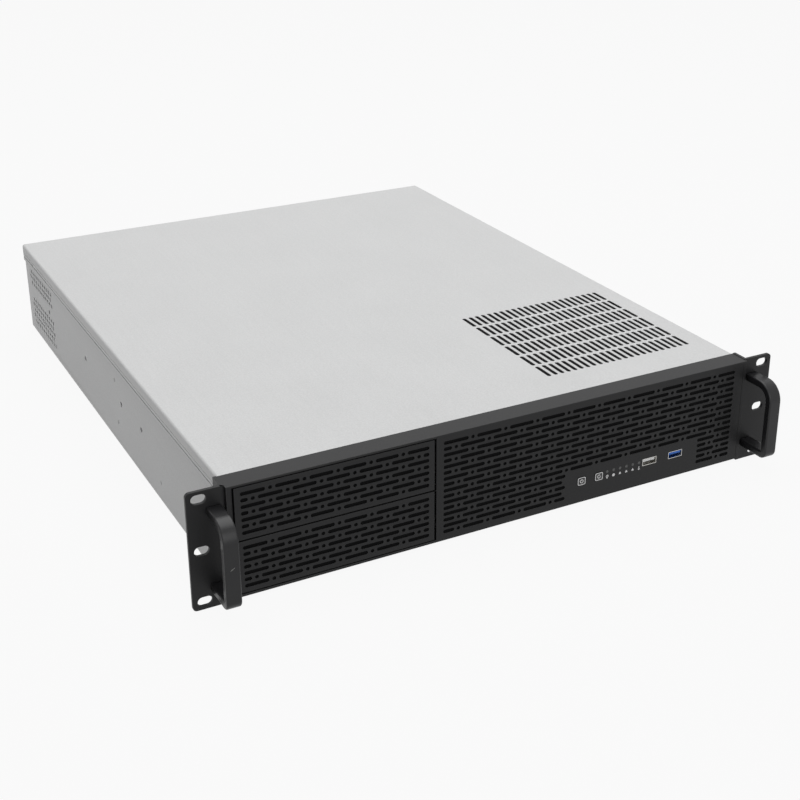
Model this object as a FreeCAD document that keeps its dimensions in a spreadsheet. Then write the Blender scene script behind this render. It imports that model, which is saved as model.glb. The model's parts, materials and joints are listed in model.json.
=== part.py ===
"""Empty 2U rackmount server case, as a parametric document of separate pieces.

Millimetres. X runs to the viewer's right across the front, Y runs to the rear and Z
runs up. X = 0 is the middle of the width and Y = 0 is the back of the rack ears, where
they meet the rack's posts. Heights in the sketches start at the underside of the folded
floor. The placement of every piece then sets Z = 0 at the middle of the rack slots.
"""
import FreeCAD
import Part

import math
import os

import Sketcher
from FreeCAD import Vector

doc = FreeCAD.newDocument("rack_case")
sizes = doc.addObject("Spreadsheet::Sheet", "sizes")

# Driving dimensions: name, value in millimetres, meaning
DRIVING = [
    ("case_width", "430", "over the cover's lips"),
    ("case_height", "84.6", "underside to top of the cover"),
    ("case_depth", "550", "front face to rear face"),
    ("steel", "1.2", "sheet of the tray, the walls and the brackets"),
    ("skin_steel", "1", "sheet of the cover, the front and the bay covers"),
    ("bend_radius", "2", "outside radius of a fold"),
    ("flange_width", "12", "inward flanges along the tray's top"),
    ("ear_wide", "26.3", "side of the case to the ear's outer edge"),
    ("ear_rise", "0.4", "rack ear above the cover"),
    ("ear_drop", "3", "rack ear below the floor's underside"),
    ("ear_steel", "2.5", "sheet of the rack ears"),
    ("ear_corner", "3", "corner radius of the rack ears"),
    ("front_proud", "2.9", "front face ahead of the ears' faces"),
    ("front_depth", "17.4", "depth of the black front section"),
    ("rack_slot_out", "17.55", "side of the case to the middle of the rack slots"),
    ("rack_slot_inset", "5.9", "outer rack slots from the ear's ends"),
    ("rack_slot_long", "10.4", "rack slot, end to end"),
    ("rack_slot_high", "6.8", "rack slot height"),
    ("handle_stand", "30.2", "handle grip ahead of the ear's face"),
    ("handle_inset", "12.5", "handle from the ear's top and foot"),
    ("handle_wide", "10.8", "handle bar across"),
    ("handle_thick", "6", "handle bar thickness"),
    ("handle_top_radius", "15", "outside radius of the handle's upper bend"),
    ("handle_foot_radius", "6.5", "outside radius of the handle's lower bend"),
    ("handle_out", "7.8", "side of the case to the middle of the handle"),
    ("screw_radius", "1.95", "shank of a screw, across its flats"),
    ("fit_gap", "0.05", "gap of a screw in its hole"),
    ("handle_screw_head", "3.4", "head radius of a handle screw"),
    ("handle_screw_high", "2", "head height of a handle screw"),
    ("handle_screw_reach", "11", "handle screw inside the handle"),
    ("handle_tap", "12", "tapped hole in the handle's arm"),
    ("card_screw_head", "3", "head radius of a slot screw"),
    ("card_screw_high", "1.8", "head height of a slot screw"),
    ("card_screw_long", "4", "shank of a slot screw"),
    ("thumb_head", "4", "head radius of a thumb screw"),
    ("thumb_high", "5", "head height of a thumb screw"),
    ("thumb_long", "6", "shank of a thumb screw"),
    ("lip_height", "15", "cover lip down the side"),
    ("rear_fold", "9.6", "cover fold down the rear"),
    ("lip_groove", "8.5", "top of the cover to the groove along its lip"),
    ("groove_deep", "0.4", "depth of that groove"),
    ("groove_high", "0.9", "height of that groove"),
    ("cover_screw_in", "40", "outer cover screws from the side of the case"),
    ("cover_screw_drop", "5.5", "cover screws below the top"),
    ("lip_hole_in", "33.6", "small hole in the cover's lip from the rear"),
    ("lip_hole_drop", "11.1", "that hole below the top"),
    ("lip_hole_radius", "1.6", "radius of that hole"),
    ("vent_in", "85", "middle of the cover's vent from the side of the case"),
    ("vent_y", "110", "middle of the cover's vent"),
    ("vent_pitch_x", "5.95", "vent columns"),
    ("vent_pitch_y", "22.6", "vent rows"),
    ("vent_slot_long", "19.6", "vent slot, front to back"),
    ("vent_slot_wide", "3.1", "vent slot across"),
    ("side_vent_in", "56.6", "middle of the side vents from the rear"),
    ("side_vent_pitch", "14.4", "side vent holes along the wall"),
    ("side_vent_hole", "3.6", "side vent hole across"),
    ("rail_hole_1", "184", "first rail screw hole"),
    ("rail_hole_2", "236", "second rail screw hole"),
    ("rail_hole_3", "339.5", "third rail screw hole"),
    ("rail_hole_4", "462", "fourth rail screw hole"),
    ("rail_hole_radius", "2", "rail screw holes"),
    ("bay_margin", "5.2", "side of the case to the bay covers"),
    ("bay_cover_wide", "147.8", "bay cover across"),
    ("bay_foot", "2.8", "lower bay cover above the underside"),
    ("bay_split", "1", "gap between the two bay covers"),
    ("bay_head", "2.4", "upper bay cover below the top"),
    ("bay_gap", "1.4", "gap at the sides of the bay covers"),
    ("bay_gap_low", "0.6", "gap under the lower bay cover"),
    ("bay_gap_high", "0.9", "gap over the upper bay cover"),
    ("bay_fit", "0.3", "gap between a bay cover and the cage's walls"),
    ("bay_grip", "8", "reach of a bay cover's tongues into the cage"),
    ("tongue_margin", "10", "tongue from the bay cover's top and foot"),
    ("bay_rear_gap", "46.8", "bay cage ahead of the fan wall"),
    ("drive_front", "18.8", "drive cage behind the inner front wall"),
    ("drive_rear_gap", "61", "drive cage ahead of the fan wall"),
    ("drive_left_gap", "7.35", "bay cage to drive cage"),
    ("drive_right_gap", "3.85", "drive cage to the power supply's place"),
    ("cage_slot_long", "9", "drive screw slots, front to back"),
    ("cage_slot_high", "3.6", "drive screw slots, height"),
    ("cage_slot_1", "40", "first drive screw slots behind the cage's front"),
    ("cage_slot_2", "119.2", "second drive screw slots behind the cage's front"),
    ("cage_slot_up", "12", "drive screw slots above the foot of a drive's place"),
    ("slot_high", "2.75", "front grille slots, height"),
    ("panel_gap", "7.2", "bay covers to the right grille"),
    ("panel_margin", "11.4", "right grille from the side of the case"),
    ("panel_web", "6.98", "right grille, metal between two slots"),
    ("panel_end_slot", "8.4", "right grille, slot that ends the offset rows"),
    ("panel_shift", "2.4", "right grille, end webs of the lower offset rows"),
    ("panel_head", "6.9", "right grille, top row below the top"),
    ("panel_foot", "7.2", "right grille, lowest row above the underside"),
    ("field_margin", "32.1", "plain field round the controls from the grille's right end"),
    ("field_wide", "123", "plain field round the controls, across"),
    ("field_top", "28", "plain field round the controls, top"),
    ("cover_web", "7.1", "bay cover grille, metal between two slots"),
    ("cover_slot", "17.4", "bay cover grille, long slot"),
    ("cover_margin", "4.3", "bay cover grille from the cover's ends"),
    ("cover_row_margin", "5.08", "bay cover grille, outer rows from the cover's top and foot"),
    ("button_in", "14.6", "plain field's left end to the power button"),
    ("button_step", "15.7", "power button to reset button"),
    ("button_z", "18.1", "buttons above the underside"),
    ("button_wide", "7.2", "button cap across"),
    ("button_high", "6.6", "button cap height"),
    ("button_gap", "0.2", "gap between a button cap and its opening"),
    ("button_proud", "0.4", "button cap ahead of the front face"),
    ("button_rim", "1.1", "rim that keeps a button behind the front"),
    ("button_rim_thick", "1.5", "thickness of that rim"),
    ("button_stem", "3", "stem of a button across"),
    ("button_corner", "1", "cut corners of a button"),
    ("button_travel", "1", "travel of a button"),
    ("switch_wide", "6", "switch on the board across"),
    ("switch_high", "4.5", "switch on the board, front to back"),
    ("switch_gap", "0.1", "pressed button stem to its switch"),
    ("lamp_in", "23.5", "power button to the first status lamp"),
    ("lamp_step", "5.9", "status lamp pitch"),
    ("lamp_z", "20.2", "status lamps above the underside"),
    ("lamp_radius", "1.2", "light guide of a status lamp, across its flats"),
    ("port_in", "62.8", "power button to the first data port"),
    ("port_step", "24.6", "first data port to the second"),
    ("port_z", "19.3", "data ports above the underside"),
    ("port_wide", "13.1", "data port shell across"),
    ("port_high", "5.7", "data port shell height"),
    ("port_wall", "0.35", "data port shell wall"),
    ("port_depth", "13.9", "data port shell, front to back"),
    ("port_gap", "0.2", "gap between a port shell and its opening"),
    ("port_back", "0.1", "port shells and lamps behind the front face"),
    ("tongue_side", "0.8", "port tongue to the shell's side"),
    ("tongue_thick", "1.8", "port tongue thickness"),
    ("tongue_top", "0.7", "port tongue to the shell's top"),
    ("tongue_back", "1", "port tongue behind the front face"),
    ("root_thick", "2.5", "block that holds the port tongue"),
    ("board_thick", "1.6", "circuit board behind the controls"),
    ("board_left_edge", "1", "plain field's left end to the board"),
    ("board_right_edge", "15", "second port to the board's right end"),
    ("board_low_edge", "14", "ports to the board's foot"),
    ("board_top_edge", "0.5", "board above the plain field"),
    ("standoff_wide", "4", "standoffs between the front and the board"),
    ("standoff_in", "3", "standoffs from the board's edges"),
    ("wall_slot", "1", "clearance between a bracket and its neighbour"),
    ("rail_low", "6", "inner front wall's top rail below the upper bay cover's top"),
    ("sill_high", "6", "inner front wall's sill above the lower bay cover's foot"),
    ("post_left", "10", "bay covers to the drive window"),
    ("post_step", "4", "plain field's left end back to the drive window"),
    ("post_wide", "10", "upright between the drive and supply windows"),
    ("control_rise", "10", "control wall above the plain field"),
    ("fan_count", "4", "fan places"),
    ("fan_margin", "20.8", "outer fan places from the walls"),
    ("fan_rim", "2.6", "air opening of a fan place from the wall's top and foot"),
    ("fan_gap", "52.01", "front row of board posts to the fan wall"),
    ("supply_wide", "150", "clear width of the power supply's place"),
    ("supply_rear_gap", "61.8", "supply bracket ahead of the fan wall"),
    ("supply_rim", "10", "frame round the supply bracket's window"),
    ("post_height", "6", "board posts"),
    ("post_across", "5", "board post, across the flats"),
    ("post_bore", "1.25", "thread core radius of a board post"),
    ("board_column_2", "124.46", "first to second column of board posts"),
    ("board_column_3", "281.94", "first to third column of board posts"),
    ("board_row_2", "154.94", "rear to second row of board posts"),
    ("board_row_3", "227.33", "rear to front row of board posts"),
    ("board_in", "208.9", "connector opening's middle to the first column of board posts"),
    ("board_margin", "10.16", "rear row of board posts from the board's edge"),
    ("board_clear", "0.8", "board's edge from the slot covers"),
    ("port_plate_in", "144.4", "middle of the connector opening from the side of the case"),
    ("port_plate_wide", "158.75", "board connector opening across"),
    ("port_plate_high", "44.45", "board connector opening, height"),
    ("port_plate_foot", "4.8", "board connector opening above the underside"),
    ("card_in", "94.6", "connector opening's middle to the first expansion slot"),
    ("card_pitch", "20.32", "expansion slots"),
    ("card_count", "7", "expansion slots"),
    ("card_open", "13", "expansion slot opening across"),
    ("card_cover_wide", "18.4", "slot cover across"),
    ("card_cover_steel", "0.9", "sheet of a slot cover"),
    ("card_cover_foot", "0.5", "slot cover above the floor"),
    ("card_drop", "7.6", "slot covers' ledge below the tray's top"),
    ("card_recess", "11.2", "slot covers in front of the rear wall"),
    ("card_screw_in", "6.6", "slot screws behind the recessed plate"),
    ("card_tab_gap", "0.5", "slot cover's tab from the rear wall"),
    ("card_foot", "5.2", "slot openings above the underside and below the ledge"),
    ("frame_left_in", "1.5", "recessed frame beside the last expansion slot"),
    ("frame_right_in", "4", "recessed frame beside the connector opening"),
    ("inlet_in", "31", "power inlet from the side of the case"),
    ("inlet_z", "26", "power inlet above the underside"),
    ("inlet_wide", "24.8", "power inlet recess across"),
    ("inlet_high", "17", "power inlet recess height"),
    ("inlet_depth", "16", "power inlet recess depth"),
    ("inlet_wall", "1.2", "wall of the power inlet"),
    ("inlet_proud", "0.8", "power inlet behind the rear wall's face"),
    ("inlet_floor", "2", "floor of the power inlet"),
    ("inlet_rim", "2.5", "rim of the power inlet against the wall"),
    ("inlet_rim_thick", "1.5", "thickness of that rim"),
    ("blade_in", "7", "outer blades from the inlet's middle"),
    ("blade_high", "4", "blade of the power inlet, height"),
    ("blade_thick", "2", "blade of the power inlet, thickness"),
    ("blade_back", "4", "blades inside the inlet's mouth"),
    ("blade_low", "1", "outer blades above the inlet's middle"),
    ("blade_top", "4", "middle blade above the inlet's middle"),
]

for row, (alias, number, meaning) in enumerate(DRIVING, start=1):
    sizes.set(f"A{row}", alias)
    sizes.set(f"B{row}", number)
    sizes.set(f"C{row}", meaning)
    sizes.setAlias(f"B{row}", alias)
doc.recompute()

# Places worked out from the driving dimensions, as expressions over the sheet
HALF = "(sizes.case_width / 2)"
FRONT = "(-sizes.ear_steel - sizes.front_proud)"
SEAM = f"({FRONT} + sizes.front_depth)"
REAR = f"({FRONT} + sizes.case_depth)"
WALL_REAR = f"({REAR} - sizes.skin_steel)"
TRAY_HALF = f"({HALF} - sizes.skin_steel)"
TRAY_TOP = "(sizes.case_height - sizes.skin_steel)"
INSIDE_HALF = f"({TRAY_HALF} - sizes.steel)"
FLANGE_UNDER = f"({TRAY_TOP} - sizes.steel)"
PANEL_BACK = f"({FRONT} + sizes.skin_steel)"
WALL_BACK = f"({SEAM} + sizes.steel)"
EAR_TOP = "(sizes.case_height + sizes.ear_rise)"
EAR_MIDDLE = f"(({EAR_TOP} - sizes.ear_drop) / 2)"
EAR_OUTER = f"({HALF} + sizes.ear_wide)"
RACK_SLOT_X = f"({HALF} + sizes.rack_slot_out)"
RACK_SLOT_RISE = f"({EAR_TOP} - {EAR_MIDDLE} - sizes.rack_slot_inset)"
HANDLE_X = f"({HALF} + sizes.handle_out)"
HANDLE_FOOT = "(sizes.handle_inset - sizes.ear_drop)"
HANDLE_HEAD = f"({EAR_TOP} - sizes.handle_inset)"
HANDLE_SCREWS_Z = (f"({HANDLE_FOOT} + sizes.handle_thick / 2)", f"({HANDLE_HEAD} - sizes.handle_thick / 2)")
BAY_LEFT = f"(sizes.bay_margin - {HALF})"
BAY_RIGHT = f"({BAY_LEFT} + sizes.bay_cover_wide)"
BAY_HIGH = "((sizes.case_height - sizes.bay_foot - sizes.bay_split - sizes.bay_head) / 2)"
UPPER_FOOT = f"(sizes.bay_foot + {BAY_HIGH} + sizes.bay_split)"
UPPER_TOP = f"({UPPER_FOOT} + {BAY_HIGH})"
BAY_INSIDE_LEFT = f"({BAY_LEFT} - sizes.bay_fit)"
BAY_INSIDE_RIGHT = f"({BAY_RIGHT} + sizes.bay_fit)"
PANEL_LEFT = f"({BAY_RIGHT} + sizes.panel_gap)"
PANEL_RIGHT = f"({HALF} - sizes.panel_margin)"
PANEL_TOP = "(sizes.case_height - sizes.panel_head)"
FIELD_RIGHT = f"({PANEL_RIGHT} - sizes.field_margin)"
FIELD_LEFT = f"({FIELD_RIGHT} - sizes.field_wide)"
BUTTON_X = f"({FIELD_LEFT} + sizes.button_in)"
LAMP_X = f"({BUTTON_X} + sizes.lamp_in)"
PORT_X = f"({BUTTON_X} + sizes.port_in)"
BOARD_FRONT = f"({FRONT} + sizes.port_depth)"
BOARD_RIGHT_EDGE = f"({PORT_X} + sizes.port_step + sizes.board_right_edge)"
BOARD_X_SPAN = (f"({FIELD_LEFT} + sizes.board_left_edge)", BOARD_RIGHT_EDGE)
BOARD_Z_SPAN = ("(sizes.port_z - sizes.board_low_edge)", "(sizes.field_top + sizes.board_top_edge)")
VENT_X = f"({HALF} - sizes.vent_in)"
SUPPLY_LEFT = f"({VENT_X} - sizes.supply_wide / 2)"
SUPPLY_RIGHT = f"({VENT_X} + sizes.supply_wide / 2)"
DRIVE_LEFT = f"({BAY_INSIDE_RIGHT} + 2 * sizes.steel + sizes.drive_left_gap)"
DRIVE_RIGHT = f"({SUPPLY_LEFT} - sizes.steel - sizes.drive_right_gap)"
CARD_PLATE = f"({WALL_REAR} - sizes.steel - sizes.card_recess)"
CARD_TOP = f"({TRAY_TOP} - sizes.card_drop)"
BOARD_REAR = f"({CARD_PLATE} - sizes.card_cover_steel - sizes.board_clear - sizes.board_margin)"
PORT_PLATE_X = f"({HALF} - sizes.port_plate_in)"
CARD_FIRST = f"({PORT_PLATE_X} - sizes.card_in)"
BOARD_LEFT = f"({PORT_PLATE_X} - sizes.board_in)"
BOARD_COLUMNS = (
    BOARD_LEFT,
    f"({BOARD_LEFT} + sizes.board_column_2)",
    f"({BOARD_LEFT} + sizes.board_column_3)",
)
BOARD_ROWS = (BOARD_REAR, f"({BOARD_REAR} - sizes.board_row_2)", f"({BOARD_REAR} - sizes.board_row_3)")
FAN_Y = f"({BOARD_REAR} - sizes.board_row_3 - sizes.fan_gap)"
FAN_PITCH = f"(2 * ({INSIDE_HALF} - sizes.fan_margin) / sizes.fan_count)"
FAN_RADIUS = f"(({FLANGE_UNDER} - sizes.steel) / 2 - sizes.fan_rim)"
SUPPLY_FACE = f"({FAN_Y} - sizes.supply_rear_gap)"
FRAME_LEFT = f"({CARD_FIRST} - (sizes.card_count - 0.5) * sizes.card_pitch - sizes.frame_left_in)"
FRAME_RIGHT = f"({PORT_PLATE_X} + sizes.port_plate_wide / 2 + sizes.frame_right_in)"
PORTS_TOP = "(sizes.port_plate_foot + sizes.port_plate_high)"
CARD_SCREW_Y = f"({CARD_PLATE} + sizes.card_screw_in)"
INLET_X = f"({HALF} - sizes.inlet_in)"
COVER_SCREWS_X = (f"(sizes.cover_screw_in - {HALF})", "0", f"({HALF} - sizes.cover_screw_in)")
COVER_SCREW_Z = "(sizes.case_height - sizes.cover_screw_drop)"
SIDE_VENT_Y = f"({REAR} - sizes.side_vent_in)"
WALL_TOP_Z = f"({UPPER_TOP} - sizes.rail_low)"
WALL_SILL_Z = "(sizes.bay_foot + sizes.sill_high)"
CONTROL_TOP_Z = "(sizes.field_top + sizes.control_rise)"
WALL_END = f"({INSIDE_HALF} - sizes.bend_radius)"
RAIL_HOLES = ("sizes.rail_hole_1", "sizes.rail_hole_2", "sizes.rail_hole_3", "sizes.rail_hole_4")

# Heights on the side walls keep their share of the case height: share of its 84.6 mm
RAIL_HOLE_Z = "(sizes.case_height * 42.8 / 84.6)"
SIDE_VENT_LOW = "(sizes.case_height * 12.7 / 84.6)"
SIDE_VENT_HIGH = "(sizes.case_height * 52.5 / 84.6)"
SIDE_VENT_RISE = "(sizes.case_height * 5.7 / 84.6)"

# Counts and small values
TAB_REACH = "3"
TAB_MARGIN = "3"
EDGE_MARGIN = 4.0
VENT_COLUMNS = 23
VENT_ROWS = 6
SIDE_VENT_COLUMNS = 6
SIDE_VENT_LOW_ROWS = 5
SIDE_VENT_HIGH_ROWS = 3
PANEL_ROWS = 16
PANEL_STEPS = 9.6131
FIELD_ROW = 11
SHIFTED_ROW = 7
COVER_ROWS = 7
COVER_STEPS = 5.682
DRIVE_SHELVES = 3
LAMPS = 6
SCREW_SIDES = 6
THUMB_SIDES = 12
LAMP_SIDES = 6
FAN_SIDES = 16
WIDE_BEND_STEPS = 6
TIGHT_BEND_STEPS = 3
CUT_OVER = "1"
NOTCH_SHARE = 1.2  # how far a slot cover's notch goes round its screw, in screw radii
TOUCH = 0.01

parts = {}


def size(text):
    """Millimetres of an expression over the sheet."""
    return float(sizes.evalExpression(text))


def new_body(name):
    """Empty body whose label names its file."""
    body = doc.addObject("PartDesign::Body", name)
    body.Label = name
    parts[name] = body
    return body


def new_group(name, solids):
    """Node of several separate solids."""
    group = doc.addObject("Part::Feature", name)
    group.Label = name
    group.Shape = Part.makeCompound(solids)
    parts[name] = group
    return group


def new_sketch(body, name, plane, place="0"):
    """Sketch on an origin plane of the body, moved along the plane's axis to place.

    XY sketches read (X, Y), XZ sketches (X, Z) and YZ sketches (Y, Z).
    """
    sketch = body.newObject("Sketcher::SketchObject", name)
    origin_plane = next(o for o in body.Origin.OriginFeatures if o.Role == f"{plane}_Plane")
    sketch.AttachmentSupport = (origin_plane, [""])
    sketch.MapMode = "FlatFace"
    offset = f"-({place})" if plane == "XZ" else place
    sketch.setExpression("AttachmentOffset.Base.z", offset)
    return sketch


def bind(sketch, kind, geometry, point, text):
    """Distance of a sketch point from the sketch's origin, bound to the sheet."""
    index = sketch.addConstraint(Sketcher.Constraint(kind, geometry, point, size(text)))
    sketch.setExpression(f"Constraints[{index}]", text)


def rectangle(sketch, left, right, low, high):
    """Closed rectangle with each side bound to an expression."""
    x0, x1, y0, y1 = (size(text) for text in (left, right, low, high))
    corners = [Vector(x0, y0), Vector(x1, y0), Vector(x1, y1), Vector(x0, y1)]
    first = sketch.GeometryCount
    for index in range(4):
        sketch.addGeometry(Part.LineSegment(corners[index], corners[(index + 1) % 4]))
    for index in range(4):
        following = first + (index + 1) % 4
        sketch.addConstraint(Sketcher.Constraint("Coincident", first + index, 2, following, 1))
    for index, kind in enumerate(("Horizontal", "Vertical", "Horizontal", "Vertical")):
        sketch.addConstraint(Sketcher.Constraint(kind, first + index))
    bind(sketch, "DistanceX", first, 1, left)
    bind(sketch, "DistanceY", first, 1, low)
    bind(sketch, "DistanceX", first + 1, 2, right)
    bind(sketch, "DistanceY", first + 1, 2, high)


def circle(sketch, across, up, radius):
    """Circle with its centre and radius bound to expressions."""
    centre = Vector(size(across), size(up))
    index = sketch.addGeometry(Part.Circle(centre, Vector(0, 0, 1), size(radius)))
    bind(sketch, "DistanceX", index, 3, across)
    bind(sketch, "DistanceY", index, 3, up)
    bound = sketch.addConstraint(Sketcher.Constraint("Radius", index, size(radius)))
    sketch.setExpression(f"Constraints[{bound}]", radius)


def outline(sketch, points):
    """Closed outline of straight lines through the points, as plain numbers."""
    for index, point in enumerate(points):
        start = Vector(*point)
        end = Vector(*points[(index + 1) % len(points)])
        sketch.addGeometry(Part.LineSegment(start, end))


def ring(sides, radius):
    """Corners of a regular outline whose sides touch the circle of the radius."""
    reach = radius / math.cos(math.pi / sides)
    angles = [2 * math.pi * (index + 0.5) / sides for index in range(sides)]
    return [(reach * math.cos(angle), reach * math.sin(angle)) for angle in angles]


def sided_hole(sketch, across, up, radius, sides=SCREW_SIDES):
    """Straight-sided hole round a centre."""
    x, y = size(across), size(up)
    outline(sketch, [(x + dx, y + dy) for dx, dy in ring(sides, size(radius))])


def rod(foot, way, radius, length, sides=SCREW_SIDES):
    """Straight-sided rod that stands on its foot and runs along Y or Z."""
    second = Vector(0, 0, 1) if way.y else Vector(0, 1, 0)
    corners = [foot + Vector(dx, 0, 0) + second * dy for dx, dy in ring(sides, radius)]
    return Part.Face(Part.makePolygon(corners + corners[:1])).extrude(way * length)


def stadium(sketch, across, up, length, height):
    """Slot with round ends, lying along the sketch's first axis."""
    x, y = size(across), size(up)
    radius = size(height) / 2
    reach = size(length) / 2 - radius
    low, high = y - radius, y + radius
    sketch.addGeometry(Part.LineSegment(Vector(x - reach, low), Vector(x + reach, low)))
    sketch.addGeometry(Part.Arc(Vector(x + reach, low), Vector(x + reach + radius, y), Vector(x + reach, high)))
    sketch.addGeometry(Part.LineSegment(Vector(x + reach, high), Vector(x - reach, high)))
    sketch.addGeometry(Part.Arc(Vector(x - reach, high), Vector(x - reach - radius, y), Vector(x - reach, low)))


def cut_slot(sketch, across, up, length, height):
    """Slot like the round-ended one, with cut corners."""
    x, y, reach, rise = size(across), size(up), size(length) / 2, size(height) / 2
    cut = rise * (2 - math.sqrt(2))
    corners = [(reach - cut, -rise), (reach, cut - rise), (reach, rise - cut), (reach - cut, rise)]
    left = [(-dx, -dy) for dx, dy in corners]
    outline(sketch, [(x + dx, y + dy) for dx, dy in corners + left])


def pad(body, name, sketch, length):
    """Pad towards +X, +Y or +Z, whichever the sketch's plane faces."""
    feature = body.newObject("PartDesign::Pad", name)
    feature.Profile = sketch
    feature.Reversed = sketch.AttachmentSupport[0][0].Role == "XZ_Plane"
    feature.setExpression("Length", length)
    doc.recompute()
    return feature


def pocket(body, name, sketch, depth):
    """Pocket from the sketch towards +X, +Y or +Z; it has to take material away."""
    before = body.Shape.Volume
    feature = body.newObject("PartDesign::Pocket", name)
    feature.Profile = sketch
    feature.Reversed = sketch.AttachmentSupport[0][0].Role != "XZ_Plane"
    feature.setExpression("Length", depth)
    doc.recompute()
    if body.Shape.Volume > before - TOUCH:
        raise RuntimeError(f"{name} cuts nothing")
    return feature


def worked_edges(body, name, kind, value, points):
    """Fillet or chamfer on the edges that pass through the points."""
    carrier = body.Tip
    vertices = [Part.Vertex(*point) for point in points]
    edges = []
    for index, edge in enumerate(carrier.Shape.Edges, start=1):
        if any(edge.distToShape(vertex)[0] < TOUCH for vertex in vertices):
            edges.append(f"Edge{index}")
    feature = body.newObject(f"PartDesign::{kind}", name)
    feature.Base = (carrier, edges)
    feature.setExpression("Radius" if kind == "Fillet" else "Size", value)
    doc.recompute()
    return feature


def block(body, name, x_span, y_span, z_span):
    """Rectangular pad between bound limits along X, Y and Z."""
    sketch = new_sketch(body, f"{name}_sketch", "XY", z_span[0])
    rectangle(sketch, x_span[0], x_span[1], y_span[0], y_span[1])
    return pad(body, name, sketch, f"({z_span[1]}) - ({z_span[0]})")


def slot_row(left, right, pitch, length, offset_row, end_slot=0.0):
    """Start and end of each slot in one grille row.

    Offset rows begin half a pitch earlier and are cut at both ends. With an end slot
    they finish in a slot of that length instead.
    """
    web = pitch - length
    limit = right - end_slot - web if offset_row and end_slot else right
    start = left - pitch / 2 if offset_row else left
    spans = []
    while start < limit:
        span = (max(start, left), min(start + length, limit))
        if span[1] - span[0] > EDGE_MARGIN:
            spans.append(span)
        start += pitch
    if offset_row and end_slot:
        spans.append((right - end_slot, right))
    return spans


def outside(spans, low, high):
    """Spans with the stretch between low and high left out."""
    kept = []
    for start, end in spans:
        for part in ((start, min(end, low)), (max(start, high), end)):
            if part[1] - part[0] > EDGE_MARGIN:
                kept.append(part)
    return kept


def chassis_tray():
    """Floor, two side walls and their inward top flanges, folded from one sheet."""
    body = new_body("chassis_tray")
    profile = new_sketch(body, "tray_profile", "XZ", SEAM)
    half, top, wall, flange = (size(t) for t in (TRAY_HALF, TRAY_TOP, "sizes.steel", "sizes.flange_width"))
    outer = [(-half + flange, top), (-half, top), (-half, 0), (half, 0), (half, top), (half - flange, top)]
    inner_half = half - wall
    inner = [
        (half - flange, top - wall),
        (inner_half, top - wall),
        (inner_half, wall),
        (-inner_half, wall),
        (-inner_half, top - wall),
        (-half + flange, top - wall),
    ]
    outline(profile, outer + inner)
    pad(body, "tray_folded", profile, f"{WALL_REAR} - {SEAM}")
    middle = size(f"({SEAM} + {WALL_REAR}) / 2")
    outer_edges = [(side * half, middle, z) for side in (-1, 1) for z in (0, top)]
    inner_edges = [(side * inner_half, middle, z) for side in (-1, 1) for z in (wall, top - wall)]
    worked_edges(body, "tray_outer_bends", "Fillet", "sizes.bend_radius", outer_edges)
    worked_edges(body, "tray_inner_bends", "Chamfer", "sizes.bend_radius - sizes.steel", inner_edges)

    # The walls reach forward inside the front section, where the ears are screwed on
    for side, span in (("left", (f"-{TRAY_HALF}", f"-{INSIDE_HALF}")), ("right", (INSIDE_HALF, TRAY_HALF))):
        block(body, f"{side}_front_tab", span, (f"{PANEL_BACK} + {TAB_REACH}", f"{SEAM} + {TAB_REACH}"),
              (TAB_MARGIN, f"{TRAY_TOP} - {TAB_MARGIN}"))

    # The outer holes take a slide rail's screws, the two between them are six-sided
    holes = new_sketch(body, "rail_hole_sketch", "YZ", f"-{TRAY_HALF} - {CUT_OVER}")
    for y in RAIL_HOLES[:1] + RAIL_HOLES[-1:]:
        circle(holes, y, RAIL_HOLE_Z, "sizes.rail_hole_radius")
    for y in RAIL_HOLES[1:-1]:
        sided_hole(holes, y, RAIL_HOLE_Z, "sizes.rail_hole_radius")
    pocket(body, "rail_holes", holes, f"2 * {TRAY_HALF} + 2 * {CUT_OVER}")

    vents = new_sketch(body, "side_vent_sketch", "YZ", f"-{TRAY_HALF} - {CUT_OVER}")
    pitch, reach = size("sizes.side_vent_pitch"), size("sizes.side_vent_hole") / 2
    for low, rows in ((SIDE_VENT_LOW, SIDE_VENT_LOW_ROWS), (SIDE_VENT_HIGH, SIDE_VENT_HIGH_ROWS)):
        for vent_row in range(rows):
            z = size(low) + vent_row * size(SIDE_VENT_RISE)
            for column in range(SIDE_VENT_COLUMNS - vent_row % 2):
                y = size(SIDE_VENT_Y) + (column - (SIDE_VENT_COLUMNS - 1) / 2 + vent_row % 2 / 2) * pitch
                outline(vents, [(y - reach, z), (y, z - reach), (y + reach, z), (y, z + reach)])
    pocket(body, "side_vents", vents, f"sizes.steel + 2 * {CUT_OVER}")

    rear_cut = new_sketch(body, "rear_flange_cut", "XY", FLANGE_UNDER)
    rectangle(rear_cut, f"-{INSIDE_HALF}", INSIDE_HALF,
              f"{WALL_REAR} - sizes.flange_width - 2 * sizes.wall_slot", f"{WALL_REAR} + {CUT_OVER}")
    pocket(body, "rear_flange_notch", rear_cut, f"sizes.steel + {CUT_OVER}")
    return body


def front_wall():
    """Top rail of the inner front wall, folded back under the lid."""
    body = new_body("front_wall")
    inner = f"({TRAY_HALF} - sizes.flange_width - sizes.wall_slot)"
    block(body, "rail_fold", (f"-{inner}", inner), (SEAM, f"{SEAM} + sizes.flange_width"),
          (FLANGE_UNDER, TRAY_TOP))
    block(body, "rail_plate", (BAY_INSIDE_RIGHT, WALL_END), (SEAM, WALL_BACK), (WALL_TOP_Z, FLANGE_UNDER))
    return body


def front_sill():
    """Foot of the inner front wall, folded back on the floor."""
    body = new_body("front_sill")
    block(body, "sill_plate", (BAY_INSIDE_RIGHT, WALL_END), (SEAM, WALL_BACK), ("sizes.steel", WALL_SILL_Z))
    block(body, "sill_fold", (f"{BAY_INSIDE_RIGHT} + sizes.steel + sizes.wall_slot", WALL_END),
          (SEAM, f"{SEAM} + sizes.flange_width"), ("sizes.steel", "2 * sizes.steel"))
    return body


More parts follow.
